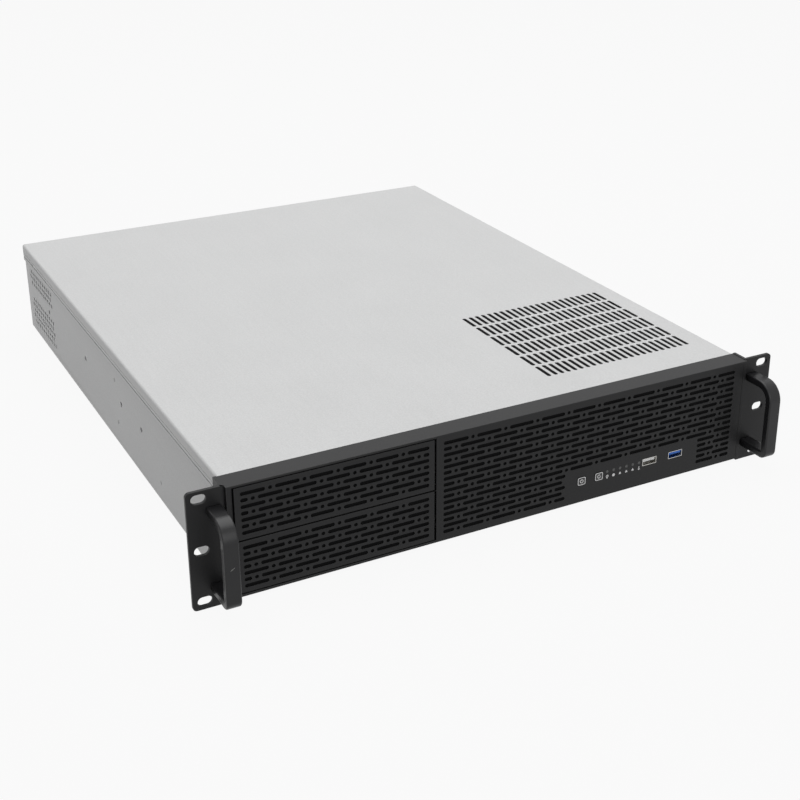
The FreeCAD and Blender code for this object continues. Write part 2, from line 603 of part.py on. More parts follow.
def control_wall():
    """Part of the inner front wall behind the controls."""
    body = new_body("control_wall")
    block(body, "control_plate", (f"{FIELD_LEFT} - sizes.post_step", INSIDE_HALF), (SEAM, WALL_BACK),
          (WALL_SILL_Z, CONTROL_TOP_Z))
    return body


def front_upright(index, x_span, foot):
    """Upright of the inner front wall beside a window."""
    body = new_body(f"front_upright_{index}")
    block(body, f"upright_{index}_plate", x_span, (SEAM, WALL_BACK), (foot, WALL_TOP_Z))
    return body


def grille_slots(sketch, rows, top, pitch_down, spans_of_row):
    """Slots of a front grille, one rectangle for each span of each row."""
    half = size("sizes.slot_high") / 2
    for grille_row in range(rows):
        z = top - grille_row * pitch_down
        for start, end in spans_of_row(grille_row):
            outline(sketch, [(start, z - half), (end, z - half), (end, z + half), (start, z + half)])


def panel_spans(grille_row):
    """Slots of one row of the right grille, clear of the field round the controls."""
    left, right, web = size(PANEL_LEFT), size(PANEL_RIGHT), size("sizes.panel_web")
    pitch = (right - left) / PANEL_STEPS
    spans = slot_row(left, right, pitch, pitch - web, grille_row % 2 == 1, size("sizes.panel_end_slot"))
    if grille_row % 2 == 1 and grille_row >= SHIFTED_ROW:
        shift = size("sizes.panel_shift")
        spans[0] = (spans[0][0], spans[0][1] + shift)
        spans[1] = (spans[1][0] + shift, spans[1][1])
        spans[-3] = (spans[-3][0], spans[-3][1] - shift)
        spans[-2] = (spans[-2][0] - shift, spans[-2][1])
    if grille_row < FIELD_ROW:
        return spans
    return outside(spans, size(FIELD_LEFT), size(FIELD_RIGHT))


def front_bezel():
    """Black front section: a shallow pan with the right grille and the bay window."""
    body = new_body("front_bezel")
    plate = new_sketch(body, "bezel_outline", "XZ", FRONT)
    rectangle(plate, f"-{HALF}", HALF, "0", "sizes.case_height")
    pad(body, "bezel_block", plate, "sizes.front_depth")
    hollow = new_sketch(body, "bezel_inside", "XZ", PANEL_BACK)
    rectangle(hollow, f"-{TRAY_HALF}", TRAY_HALF, "sizes.skin_steel", TRAY_TOP)
    pocket(body, "bezel_hollow", hollow, "sizes.front_depth")

    window = new_sketch(body, "bay_window_sketch", "XZ", f"{FRONT} - {CUT_OVER}")
    rectangle(window, f"{BAY_LEFT} - sizes.bay_gap", f"{BAY_RIGHT} + sizes.bay_gap",
              "sizes.bay_foot - sizes.bay_gap_low", f"{UPPER_TOP} + sizes.bay_gap_high")
    pocket(body, "bay_window", window, f"sizes.skin_steel + 2 * {CUT_OVER}")

    grille = new_sketch(body, "grille_sketch", "XZ", f"{FRONT} - {CUT_OVER}")
    row_pitch = size(f"{PANEL_TOP} - sizes.panel_foot") / (PANEL_ROWS - 1)
    grille_slots(grille, PANEL_ROWS, size(PANEL_TOP), row_pitch, panel_spans)
    pocket(body, "grille", grille, f"sizes.skin_steel + 2 * {CUT_OVER}")

    controls = new_sketch(body, "control_openings", "XZ", f"{FRONT} - {CUT_OVER}")
    for first, step, kind in ((BUTTON_X, "sizes.button_step", "button"), (PORT_X, "sizes.port_step", "port")):
        reach = f"(sizes.{kind}_wide / 2 + sizes.{kind}_gap)"
        rise = f"(sizes.{kind}_high / 2 + sizes.{kind}_gap)"
        for centre in (first, f"{first} + {step}"):
            rectangle(controls, f"{centre} - {reach}", f"{centre} + {reach}",
                      f"sizes.{kind}_z - {rise}", f"sizes.{kind}_z + {rise}")
    for index in range(LAMPS):
        sided_hole(controls, f"{LAMP_X} + {index} * sizes.lamp_step", "sizes.lamp_z",
                   "sizes.lamp_radius + sizes.fit_gap", LAMP_SIDES)
    pocket(body, "control_cuts", controls, f"sizes.skin_steel + 2 * {CUT_OVER}")
    return body


def board_standoffs():
    """Four standoffs that carry the control board behind the front."""
    reach = size("sizes.standoff_wide")
    inset = size("sizes.standoff_in") - reach / 2
    left, right = (size(text) for text in BOARD_X_SPAN)
    low, high = (size(text) for text in BOARD_Z_SPAN)
    front, back = size(PANEL_BACK), size(BOARD_FRONT)
    solids = []
    for x in (left + inset, right - inset - reach):
        for z in (low + inset, high - inset - reach):
            solids.append(Part.makeBox(reach, back - front, reach, Vector(x, front, z)))
    return new_group("board_standoffs", solids)


def bay_cover(name, foot):
    """Drive bay cover: a pan with its own grille and a spring tongue on each side."""
    body = new_body(name)
    top = f"({foot} + {BAY_HIGH})"
    block(body, f"{name}_block", (BAY_LEFT, BAY_RIGHT), (FRONT, SEAM), (foot, top))
    hollow = new_sketch(body, f"{name}_inside", "XZ", PANEL_BACK)
    rectangle(hollow, f"{BAY_LEFT} + sizes.skin_steel", f"{BAY_RIGHT} - sizes.skin_steel",
              f"{foot} + sizes.skin_steel", f"{top} - sizes.skin_steel")
    pocket(body, f"{name}_hollow", hollow, "sizes.front_depth")
    for side, span in (("left", (BAY_LEFT, f"{BAY_LEFT} + sizes.skin_steel")),
                       ("right", (f"{BAY_RIGHT} - sizes.skin_steel", BAY_RIGHT))):
        block(body, f"{name}_{side}_tongue", span,
              (f"{SEAM} - sizes.skin_steel", f"{WALL_BACK} + sizes.bay_grip"),
              (f"{foot} + sizes.tongue_margin", f"{top} - sizes.tongue_margin"))
    left = size(f"{BAY_LEFT} + sizes.cover_margin")
    right = size(f"{BAY_RIGHT} - sizes.cover_margin")
    pitch = (right - left) / COVER_STEPS
    length = pitch - size("sizes.cover_web")
    top_row = size(f"{top} - sizes.cover_row_margin")
    row_pitch = size(f"{BAY_HIGH} - 2 * sizes.cover_row_margin") / (COVER_ROWS - 1)
    grille = new_sketch(body, f"{name}_grille_sketch", "XZ", f"{FRONT} - {CUT_OVER}")
    grille_slots(grille, COVER_ROWS, top_row, row_pitch,
                 lambda grille_row: slot_row(left, right, pitch, length, grille_row % 2 == 1))
    pocket(body, f"{name}_grille", grille, f"sizes.skin_steel + 2 * {CUT_OVER}")
    return body


def top_cover():
    """Lid: one sheet with side lips, a rear fold and the vent over the power supply."""
    body = new_body("top_cover")
    lip_foot = "(sizes.case_height - sizes.lip_height)"
    block(body, "cover_block", (f"-{HALF}", HALF), (SEAM, REAR), (lip_foot, "sizes.case_height"))
    middle = size(f"({SEAM} + {REAR}) / 2")
    top = size("sizes.case_height")
    worked_edges(body, "cover_bends", "Fillet", "sizes.bend_radius",
                 [(side * size(HALF), middle, top) for side in (-1, 1)])
    hollow = new_sketch(body, "cover_inside", "XZ", f"{SEAM} - {CUT_OVER}")
    rectangle(hollow, f"-{TRAY_HALF}", TRAY_HALF, f"{lip_foot} - {CUT_OVER}", TRAY_TOP)
    pocket(body, "cover_hollow", hollow, f"{WALL_REAR} - {SEAM} + {CUT_OVER}")
    under_fold = new_sketch(body, "under_fold_sketch", "XZ", f"{WALL_REAR} - {CUT_OVER}")
    rectangle(under_fold, f"-{TRAY_HALF}", TRAY_HALF, f"{lip_foot} - {CUT_OVER}",
              "sizes.case_height - sizes.rear_fold")
    pocket(body, "under_fold", under_fold, f"sizes.skin_steel + 2 * {CUT_OVER}")

    groove = new_sketch(body, "groove_sketch", "XZ", f"{SEAM} - {CUT_OVER}")
    low = "(sizes.case_height - sizes.lip_groove - sizes.groove_high)"
    high = "(sizes.case_height - sizes.lip_groove)"
    rectangle(groove, f"-{HALF} - {CUT_OVER}", f"-{HALF} + sizes.groove_deep", low, high)
    rectangle(groove, f"{HALF} - sizes.groove_deep", f"{HALF} + {CUT_OVER}", low, high)
    pocket(body, "lip_grooves", groove, f"sizes.case_depth + 2 * {CUT_OVER}")

    hole = new_sketch(body, "lip_hole_sketch", "YZ", f"-{HALF} - {CUT_OVER}")
    sided_hole(hole, f"{REAR} - sizes.lip_hole_in", "sizes.case_height - sizes.lip_hole_drop",
               "sizes.lip_hole_radius")
    pocket(body, "lip_holes", hole, f"sizes.case_width + 2 * {CUT_OVER}")

    vent = new_sketch(body, "vent_sketch", "XY", f"{TRAY_TOP} - {CUT_OVER}")
    reach_x, reach_y = size("sizes.vent_slot_wide") / 2, size("sizes.vent_slot_long") / 2
    for column in range(VENT_COLUMNS):
        x = size(VENT_X) + (column - (VENT_COLUMNS - 1) / 2) * size("sizes.vent_pitch_x")
        for vent_row in range(VENT_ROWS):
            y = size("sizes.vent_y") + (vent_row - (VENT_ROWS - 1) / 2) * size("sizes.vent_pitch_y")
            outline(vent, [(x - reach_x, y - reach_y), (x + reach_x, y - reach_y),
                           (x + reach_x, y + reach_y), (x - reach_x, y + reach_y)])
    pocket(body, "vent", vent, f"sizes.skin_steel + 2 * {CUT_OVER}")

    screw_holes = new_sketch(body, "cover_screw_holes", "XZ", f"{WALL_REAR} - {CUT_OVER}")
    for x in COVER_SCREWS_X:
        sided_hole(screw_holes, x, COVER_SCREW_Z, "sizes.screw_radius + sizes.fit_gap")
    pocket(body, "cover_screw_cuts", screw_holes, f"sizes.skin_steel + 2 * {CUT_OVER}")
    return body


def rear_panel():
    """Rear wall with its forward folds, round the recessed board frame."""
    body = new_body("rear_panel")
    plate = new_sketch(body, "rear_outline", "XZ", f"{WALL_REAR} - sizes.steel")
    rectangle(plate, f"-{INSIDE_HALF}", INSIDE_HALF, "sizes.steel", TRAY_TOP)
    pad(body, "rear_plate", plate, "sizes.steel")
    folds = (f"{WALL_REAR} - sizes.flange_width", WALL_REAR)
    block(body, "rear_top_fold", (f"-{INSIDE_HALF}", INSIDE_HALF), folds, (FLANGE_UNDER, TRAY_TOP))
    for side, span in (("left", (f"-{INSIDE_HALF}", f"-{INSIDE_HALF} + sizes.steel")),
                       ("right", (f"{INSIDE_HALF} - sizes.steel", INSIDE_HALF))):
        block(body, f"rear_{side}_fold", span, folds, ("sizes.steel + sizes.bend_radius", FLANGE_UNDER))
    cuts = new_sketch(body, "rear_cuts", "XZ", f"{WALL_REAR} - sizes.steel - {CUT_OVER}")
    rectangle(cuts, f"{FRAME_LEFT} + sizes.steel", f"{FRAME_RIGHT} - sizes.steel",
              "2 * sizes.steel", f"{CARD_TOP} - sizes.steel")
    reach = "(sizes.inlet_wide / 2 + sizes.inlet_wall)"
    rise = "(sizes.inlet_high / 2 + sizes.inlet_wall)"
    rectangle(cuts, f"{INLET_X} - {reach}", f"{INLET_X} + {reach}",
              f"sizes.inlet_z - {rise}", f"sizes.inlet_z + {rise}")
    for x in COVER_SCREWS_X:
        sided_hole(cuts, x, COVER_SCREW_Z, "sizes.screw_radius + sizes.fit_gap")
    pocket(body, "rear_openings", cuts, f"sizes.steel + 2 * {CUT_OVER}")
    return body


def board_frame():
    """Recessed frame with the connector opening, the slot openings and their ledge."""
    body = new_body("board_frame")
    rear = f"({WALL_REAR} - sizes.steel)"
    block(body, "frame_plate", (FRAME_LEFT, FRAME_RIGHT), (CARD_PLATE, f"{CARD_PLATE} + sizes.steel"),
          ("sizes.steel", CARD_TOP))
    block(body, "frame_ledge", (FRAME_LEFT, FRAME_RIGHT), (CARD_PLATE, rear),
          (f"{CARD_TOP} - sizes.steel", CARD_TOP))
    for side, span in (("left", (FRAME_LEFT, f"{FRAME_LEFT} + sizes.steel")),
                       ("right", (f"{FRAME_RIGHT} - sizes.steel", FRAME_RIGHT))):
        block(body, f"frame_{side}", span, (CARD_PLATE, rear), ("sizes.steel", CARD_TOP))
    windows = new_sketch(body, "frame_windows", "XZ", f"{CARD_PLATE} - {CUT_OVER}")
    half = "sizes.port_plate_wide / 2"
    rectangle(windows, f"{PORT_PLATE_X} - {half}", f"{PORT_PLATE_X} + {half}",
              "sizes.port_plate_foot", PORTS_TOP)
    for index in range(round(size("sizes.card_count"))):
        x = f"({CARD_FIRST} - {index} * sizes.card_pitch)"
        rectangle(windows, f"{x} - sizes.card_open / 2", f"{x} + sizes.card_open / 2",
                  "sizes.card_foot", f"{CARD_TOP} - sizes.card_foot")
    pocket(body, "frame_openings", windows, f"sizes.steel + 2 * {CUT_OVER}")
    holes = new_sketch(body, "card_hole_sketch", "XY", f"{CARD_TOP} - sizes.steel - {CUT_OVER}")
    for index in range(round(size("sizes.card_count"))):
        sided_hole(holes, f"{CARD_FIRST} - {index} * sizes.card_pitch", CARD_SCREW_Y,
                   "sizes.screw_radius + sizes.fit_gap")
    pocket(body, "card_screw_holes", holes, f"sizes.steel + 2 * {CUT_OVER}")
    return body


def slot_cover(index):
    """Blank of one expansion slot: a strip with a folded tab, notched for its screw."""
    name = f"slot_cover_{index + 1}"
    body = new_body(name)
    x = f"({CARD_FIRST} - {index} * sizes.card_pitch)"
    span = (f"{x} - sizes.card_cover_wide / 2", f"{x} + sizes.card_cover_wide / 2")
    front = f"({CARD_PLATE} - sizes.card_cover_steel)"
    top = f"({CARD_TOP} + sizes.card_cover_steel)"
    tab_end = f"({CARD_PLATE} + sizes.card_recess - sizes.card_tab_gap)"
    block(body, f"{name}_strip", span, (front, CARD_PLATE), ("sizes.steel + sizes.card_cover_foot", top))
    block(body, f"{name}_tab", span, (front, tab_end), (CARD_TOP, top))
    notch = new_sketch(body, f"{name}_notch_sketch", "XY", f"{CARD_TOP} - {CUT_OVER}")
    rectangle(notch, f"{x} - sizes.screw_radius - sizes.fit_gap", f"{x} + sizes.screw_radius + sizes.fit_gap",
              f"{CARD_SCREW_Y} - {NOTCH_SHARE} * sizes.screw_radius", f"{tab_end} + {CUT_OVER}")
    pocket(body, f"{name}_notch", notch, f"sizes.card_cover_steel + 2 * {CUT_OVER}")
    return body


def u_bracket(name, x_span, y_span, top):
    """Inverted U of sheet standing on the floor, open to the front and the rear."""
    body = new_body(name)
    left, right = x_span
    block(body, f"{name}_block", (f"{left} - sizes.steel", f"{right} + sizes.steel"), y_span,
          ("sizes.steel", top))
    hollow = new_sketch(body, f"{name}_inside", "XZ", f"{y_span[0]} - {CUT_OVER}")
    rectangle(hollow, left, right, "0", f"{top} - sizes.steel")
    pocket(body, f"{name}_hollow", hollow, f"{y_span[1]} - {y_span[0]} + 2 * {CUT_OVER}")
    return body


def drive_slots(body, name, x_span, front, heights):
    """Slots for the drive screws through both walls of a cage."""
    sketch = new_sketch(body, f"{name}_sketch", "YZ", f"{x_span[0]} - 2 * sizes.steel")
    reach, rise = "sizes.cage_slot_long / 2", "sizes.cage_slot_high / 2"
    for z in heights:
        for along in ("sizes.cage_slot_1", "sizes.cage_slot_2"):
            y = f"{front} + {along}"
            rectangle(sketch, f"{y} - {reach}", f"{y} + {reach}", f"{z} - {rise}", f"{z} + {rise}")
    pocket(body, name, sketch, f"{x_span[1]} - {x_span[0]} + 4 * sizes.steel")


def bay_cage():
    """Cage of the two front drive bays, with slots for the drive screws."""
    x_span = (BAY_INSIDE_LEFT, BAY_INSIDE_RIGHT)
    body = u_bracket("bay_cage", x_span, (WALL_BACK, f"({FAN_Y} - sizes.bay_rear_gap)"), FLANGE_UNDER)
    heights = ["sizes.bay_foot + sizes.cage_slot_up", f"{UPPER_FOOT} + sizes.cage_slot_up"]
    drive_slots(body, "bay_slots", x_span, WALL_BACK, heights)
    return body


def drive_cage():
    """Cage for hard drives between the bays and the power supply."""
    x_span = (DRIVE_LEFT, DRIVE_RIGHT)
    front = f"({WALL_BACK} + sizes.drive_front)"
    body = u_bracket("drive_cage", x_span, (front, f"({FAN_Y} - sizes.drive_rear_gap)"), FLANGE_UNDER)
    shelf = f"({FLANGE_UNDER} - sizes.steel) / {DRIVE_SHELVES}"
    heights = [f"sizes.cage_slot_up + {index} * {shelf}" for index in range(DRIVE_SHELVES)]
    drive_slots(body, "drive_slots", x_span, front, heights)
    return body


def supply_bracket():
    """Upright plate behind the power supply's place, with its air and socket opening."""
    body = new_body("supply_bracket")
    span = (SUPPLY_LEFT, SUPPLY_RIGHT)
    rear = f"{SUPPLY_FACE} + sizes.steel"
    block(body, "supply_plate", span, (SUPPLY_FACE, rear), ("sizes.steel", FLANGE_UNDER))
    block(body, "supply_foot", span, (SUPPLY_FACE, f"{SUPPLY_FACE} + sizes.flange_width"),
          ("sizes.steel", "2 * sizes.steel"))
    window = new_sketch(body, "supply_window_sketch", "XZ", f"{SUPPLY_FACE} - {CUT_OVER}")
    rectangle(window, f"{SUPPLY_LEFT} + sizes.supply_rim", f"{SUPPLY_RIGHT} - sizes.supply_rim",
              "sizes.steel + sizes.supply_rim", f"{FLANGE_UNDER} - sizes.supply_rim")
    pocket(body, "supply_window", window, f"sizes.steel + 2 * {CUT_OVER}")
    return body


def fan_wall():
    """Cross wall with the fan places, folded at its foot and its top."""
    body = new_body("fan_wall")
    inner = f"({TRAY_HALF} - sizes.flange_width - sizes.wall_slot)"
    plate = new_sketch(body, "fan_outline", "XZ", FAN_Y)
    rectangle(plate, f"-{INSIDE_HALF}", INSIDE_HALF, "sizes.steel", FLANGE_UNDER)
    pad(body, "fan_plate", plate, "sizes.steel")
    folds = (FAN_Y, f"{FAN_Y} + sizes.flange_width")
    block(body, "fan_top_fold", (f"-{inner}", inner), folds, (FLANGE_UNDER, TRAY_TOP))
    block(body, "fan_foot", (f"-{WALL_END}", WALL_END), folds, ("sizes.steel", "2 * sizes.steel"))
    bores = new_sketch(body, "fan_bore_sketch", "XZ", f"{FAN_Y} - {CUT_OVER}")
    for index in range(round(size("sizes.fan_count"))):
        sided_hole(bores, f"({index} - (sizes.fan_count - 1) / 2) * {FAN_PITCH}",
                   f"(sizes.steel + {FLANGE_UNDER}) / 2", FAN_RADIUS, FAN_SIDES)
    pocket(body, "fan_bores", bores, f"sizes.steel + 2 * {CUT_OVER}")
    return body


def board_posts():
    """Hexagonal posts for the main board, each with its thread core."""
    flat, bore = size("sizes.post_across") / 2, size("sizes.post_bore")
    low, height = size("sizes.steel"), size("sizes.post_height")
    up = Vector(0, 0, 1)
    posts = []
    for column, x in enumerate(BOARD_COLUMNS):
        for line, y in enumerate(BOARD_ROWS):
            foot = Vector(size(x), size(y), low)
            corner = column != 1 and line != 1
            core = Part.makeCylinder(bore, height, foot) if corner else rod(foot, up, bore, height)
            posts.append(rod(foot, up, flat, height).cut(core))
    return new_group("board_posts", posts)


def power_inlet():
    """Mains inlet in the rear wall: an open box with its three blades."""
    body = new_body("power_inlet")
    reach = "(sizes.inlet_wide / 2 + sizes.inlet_wall)"
    rise = "(sizes.inlet_high / 2 + sizes.inlet_wall)"
    rear = f"({WALL_REAR} + sizes.inlet_proud)"
    inner = f"({rear} - sizes.inlet_depth)"
    block(body, "inlet_block", (f"{INLET_X} - {reach}", f"{INLET_X} + {reach}"),
          (f"{inner} - sizes.inlet_floor", rear), (f"sizes.inlet_z - {rise}", f"sizes.inlet_z + {rise}"))
    wall = f"({WALL_REAR} - sizes.steel)"
    block(body, "inlet_rim",
          (f"{INLET_X} - {reach} - sizes.inlet_rim", f"{INLET_X} + {reach} + sizes.inlet_rim"),
          (f"{wall} - sizes.inlet_rim_thick", wall),
          (f"sizes.inlet_z - {rise} - sizes.inlet_rim", f"sizes.inlet_z + {rise} + sizes.inlet_rim"))
    recess = new_sketch(body, "inlet_recess_sketch", "XZ", inner)
    rectangle(recess, f"{INLET_X} - sizes.inlet_wide / 2", f"{INLET_X} + sizes.inlet_wide / 2",
              "sizes.inlet_z - sizes.inlet_high / 2", "sizes.inlet_z + sizes.inlet_high / 2")
    pocket(body, "inlet_recess", recess, f"sizes.inlet_depth + {CUT_OVER}")
    blades = (("middle", "0", "sizes.blade_top"), ("left", "-sizes.blade_in", "sizes.blade_low"),
              ("right", "sizes.blade_in", "sizes.blade_low"))
    for name, across, up in blades:
        x, z = f"{INLET_X} + {across}", f"sizes.inlet_z + {up}"
        block(body, f"{name}_blade", (f"{x} - sizes.blade_thick / 2", f"{x} + sizes.blade_thick / 2"),
              (f"{inner} - {TOUCH}", f"{rear} - sizes.blade_back"),
              (f"{z} - sizes.blade_high / 2", f"{z} + sizes.blade_high / 2"))
    return body


def button(name, step):
    """Push button: cap, rim behind the front and a stem towards its switch."""
    body = new_body(name)
    x = f"({BUTTON_X} + {step})"
    wide, high = "sizes.button_wide / 2", "sizes.button_high / 2"
    rim_back = f"({PANEL_BACK} + sizes.button_rim_thick)"
    block(body, f"{name}_cap", (f"{x} - {wide}", f"{x} + {wide}"),
          (f"{FRONT} - sizes.button_proud", rim_back), (f"sizes.button_z - {high}", f"sizes.button_z + {high}"))
    depth = size(f"{FRONT} - sizes.button_proud / 2")
    corners = [(size(f"{x} {across} {wide}"), depth, size(f"sizes.button_z {rise} {high}"))
               for across in "+-" for rise in "+-"]
    worked_edges(body, f"{name}_corners", "Chamfer", "sizes.button_corner", corners)
    block(body, f"{name}_rim", (f"{x} - {wide} - sizes.button_rim", f"{x} + {wide} + sizes.button_rim"),
          (PANEL_BACK, rim_back),
          (f"sizes.button_z - {high} - sizes.button_rim", f"sizes.button_z + {high} + sizes.button_rim"))
    stem = new_sketch(body, f"{name}_stem_sketch", "XZ", PANEL_BACK)
    reach = "sizes.button_stem / 2"
    rectangle(stem, f"{x} - {reach}", f"{x} + {reach}",
              f"sizes.button_z - {reach}", f"sizes.button_z + {reach}")
    travel_end = f"{BOARD_FRONT} - sizes.switch_high - sizes.button_travel - sizes.switch_gap"
    pad(body, f"{name}_stem", stem, f"{travel_end} - {PANEL_BACK}")
    return body


def control_board():
    """Circuit board on the standoffs, with the two switches soldered to it."""
    body = new_body("control_board")
    block(body, "board_plate", BOARD_X_SPAN, (BOARD_FRONT, f"{BOARD_FRONT} + sizes.board_thick"),
          BOARD_Z_SPAN)
    reach = "sizes.switch_wide / 2"
    for name, step in (("power", "0"), ("reset", "sizes.button_step")):
        x = f"({BUTTON_X} + {step})"
        block(body, f"{name}_switch", (f"{x} - {reach}", f"{x} + {reach}"),
              (f"{BOARD_FRONT} - sizes.switch_high", f"{BOARD_FRONT} + {TOUCH}"),
              (f"sizes.button_z - {reach}", f"sizes.button_z + {reach}"))
    return body


def status_lamps():
    """Light guides of the status lamps, from the board to the front."""
    start, end = size(f"{FRONT} + sizes.port_back"), size(BOARD_FRONT)
    guides = []
    for index in range(LAMPS):
        foot = Vector(size(LAMP_X) + index * size("sizes.lamp_step"), start, size("sizes.lamp_z"))
        guides.append(rod(foot, Vector(0, 1, 0), size("sizes.lamp_radius"), end - start, LAMP_SIDES))
    return new_group("status_lamps", guides)


def port_shell(name, step):
    """Steel shell of a data port, open at the front."""
    body = new_body(name)
    x = f"({PORT_X} + {step})"
    wide, high = "sizes.port_wide / 2", "sizes.port_high / 2"
    block(body, f"{name}_block", (f"{x} - {wide}", f"{x} + {wide}"),
          (f"{FRONT} + sizes.port_back", BOARD_FRONT), (f"sizes.port_z - {high}", f"sizes.port_z + {high}"))
    hollow = new_sketch(body, f"{name}_inside", "XZ", f"{FRONT} - {CUT_OVER}")
    rectangle(hollow, f"{x} - {wide} + sizes.port_wall", f"{x} + {wide} - sizes.port_wall",
              f"sizes.port_z - {high} + sizes.port_wall", f"sizes.port_z + {high} - sizes.port_wall")
    pocket(body, f"{name}_hollow", hollow, f"sizes.port_depth + 2 * {CUT_OVER}")
    return body


def port_tongue(name, step):
    """Plastic tongue of a data port with the block that holds it in the shell."""
    body = new_body(name)
    x = f"({PORT_X} + {step})"
    inner = "(sizes.port_wide / 2 - sizes.port_wall)"
    top = "(sizes.port_z + sizes.port_high / 2 - sizes.port_wall)"
    low = "(sizes.port_z - sizes.port_high / 2 + sizes.port_wall)"
    root = f"({BOARD_FRONT} - sizes.root_thick)"
    block(body, f"{name}_root", (f"{x} - {inner}", f"{x} + {inner}"), (root, BOARD_FRONT), (low, top))
    block(body, f"{name}_blade", (f"{x} - {inner} + sizes.tongue_side", f"{x} + {inner} - sizes.tongue_side"),
          (f"{FRONT} + sizes.tongue_back", f"{root} + {TOUCH}"),
          (f"{top} - sizes.tongue_top - sizes.tongue_thick", f"{top} - sizes.tongue_top"))
    return body


def rack_ear(name, side):
    """Rack ear: a plate with three slots, folded back along the front section."""
    body = new_body(name)
    low = "(-sizes.ear_drop)"

    def span(near, far):
        return (near, far) if side > 0 else (f"-{far}", f"-{near}")

    plate = new_sketch(body, f"{name}_outline", "XZ", "-sizes.ear_steel")
    rectangle(plate, *span(HALF, EAR_OUTER), low, EAR_TOP)
    pad(body, f"{name}_plate", plate, "sizes.ear_steel")
    corners = [(side * size(EAR_OUTER), size("-sizes.ear_steel / 2"), size(z)) for z in (low, EAR_TOP)]
    worked_edges(body, f"{name}_corners", "Fillet", "sizes.ear_corner", corners)
    block(body, f"{name}_flange", span(HALF, f"({HALF} + sizes.ear_steel)"), ("-sizes.ear_steel", SEAM),
          (low, EAR_TOP))
    cuts = new_sketch(body, f"{name}_cut_sketch", "XZ", f"-sizes.ear_steel - {CUT_OVER}")
    slot = ("sizes.rack_slot_long", "sizes.rack_slot_high")
    for rise in (f"-{RACK_SLOT_RISE}", RACK_SLOT_RISE):
        stadium(cuts, f"{side} * {RACK_SLOT_X}", f"{EAR_MIDDLE} + {rise}", *slot)
    cut_slot(cuts, f"{side} * {RACK_SLOT_X}", EAR_MIDDLE, *slot)
    for z in HANDLE_SCREWS_Z:
        sided_hole(cuts, f"{side} * {HANDLE_X}", z, "sizes.screw_radius + sizes.fit_gap")
    pocket(body, f"{name}_cuts", cuts, f"sizes.ear_steel + 2 * {CUT_OVER}")
    return body


def bend(middle, radius, start, steps):
    """Points of a quarter bend of straight pieces, from the start angle onwards."""
    angles = [start + math.pi / 2 * index / steps for index in range(steps + 1)]
    return [(middle[0] + radius * math.cos(angle), middle[1] + radius * math.sin(angle)) for angle in angles]


def handle(name, side):
    """Bow handle: a flat bar with a wide upper bend and a tight lower bend."""
    body = new_body(name)
    back = size("-sizes.ear_steel")
    front = back - size("sizes.handle_stand")
    low, high = size(HANDLE_FOOT), size(HANDLE_HEAD)

    def bow(inset):
        """One side of the bar, from the upper arm's root to the lower arm's root."""
        wide = size("sizes.handle_top_radius") - inset
        tight = size("sizes.handle_foot_radius") - inset
        nose, top, foot = front + inset, high - inset, low + inset
        upper = bend((nose + wide, top - wide), wide, math.pi / 2, WIDE_BEND_STEPS)
        lower = bend((nose + tight, foot + tight), tight, math.pi, TIGHT_BEND_STEPS)
        return [(back, top)] + upper + lower + [(back, foot)]

    profile = new_sketch(body, f"{name}_profile", "YZ", f"{side} * {HANDLE_X} - sizes.handle_wide / 2")
    outline(profile, bow(0) + bow(size("sizes.handle_thick"))[::-1])
    pad(body, f"{name}_bar", profile, "sizes.handle_wide")
    holes = new_sketch(body, f"{name}_tap_sketch", "XZ", "-sizes.ear_steel - sizes.handle_tap")
    for z in HANDLE_SCREWS_Z:
        sided_hole(holes, f"{side} * {HANDLE_X}", z, "sizes.screw_radius + sizes.fit_gap")
    pocket(body, f"{name}_tapped", holes, f"sizes.handle_tap + {CUT_OVER}")
    return body


def screws(name, places, way, shank, head, head_sides=SCREW_SIDES):
    """Screws as separate solids: a head on each place and a shank along the way."""
    solids = []
    for seat in places:
        body = rod(seat, way, size("sizes.screw_radius"), size(shank))
        cap = rod(seat, -way, size(head[0]), size(head[1]), head_sides)
        solids.append(body.fuse(cap).removeSplitter())
    return new_group(name, solids)


def handle_screws():
    """Screws through the ears into the handles' arms."""
    places = [Vector(side * size(HANDLE_X), 0, size(z)) for side in (-1, 1) for z in HANDLE_SCREWS_Z]
    return screws("handle_screws", places, Vector(0, -1, 0), "sizes.ear_steel + sizes.handle_screw_reach",
                  ("sizes.handle_screw_head", "sizes.handle_screw_high"))


def card_screws():
    """Screws of the slot covers, through their tabs into the ledge."""
    seat = size(f"{CARD_TOP} + sizes.card_cover_steel")
    places = []
    for index in range(round(size("sizes.card_count"))):
        places.append(Vector(size(f"{CARD_FIRST} - {index} * sizes.card_pitch"), size(CARD_SCREW_Y), seat))
    return screws("slot_screws", places, Vector(0, 0, -1), "sizes.card_screw_long",
                  ("sizes.card_screw_head", "sizes.card_screw_high"))


def cover_screws():
    """Thumb screws that hold the lid's rear fold."""
    places = [Vector(size(x), size(REAR), size(COVER_SCREW_Z)) for x in COVER_SCREWS_X]
    return screws("cover_screws", places, Vector(0, -1, 0), "sizes.thumb_long",
                  ("sizes.thumb_head", "sizes.thumb_high"), THUMB_SIDES)


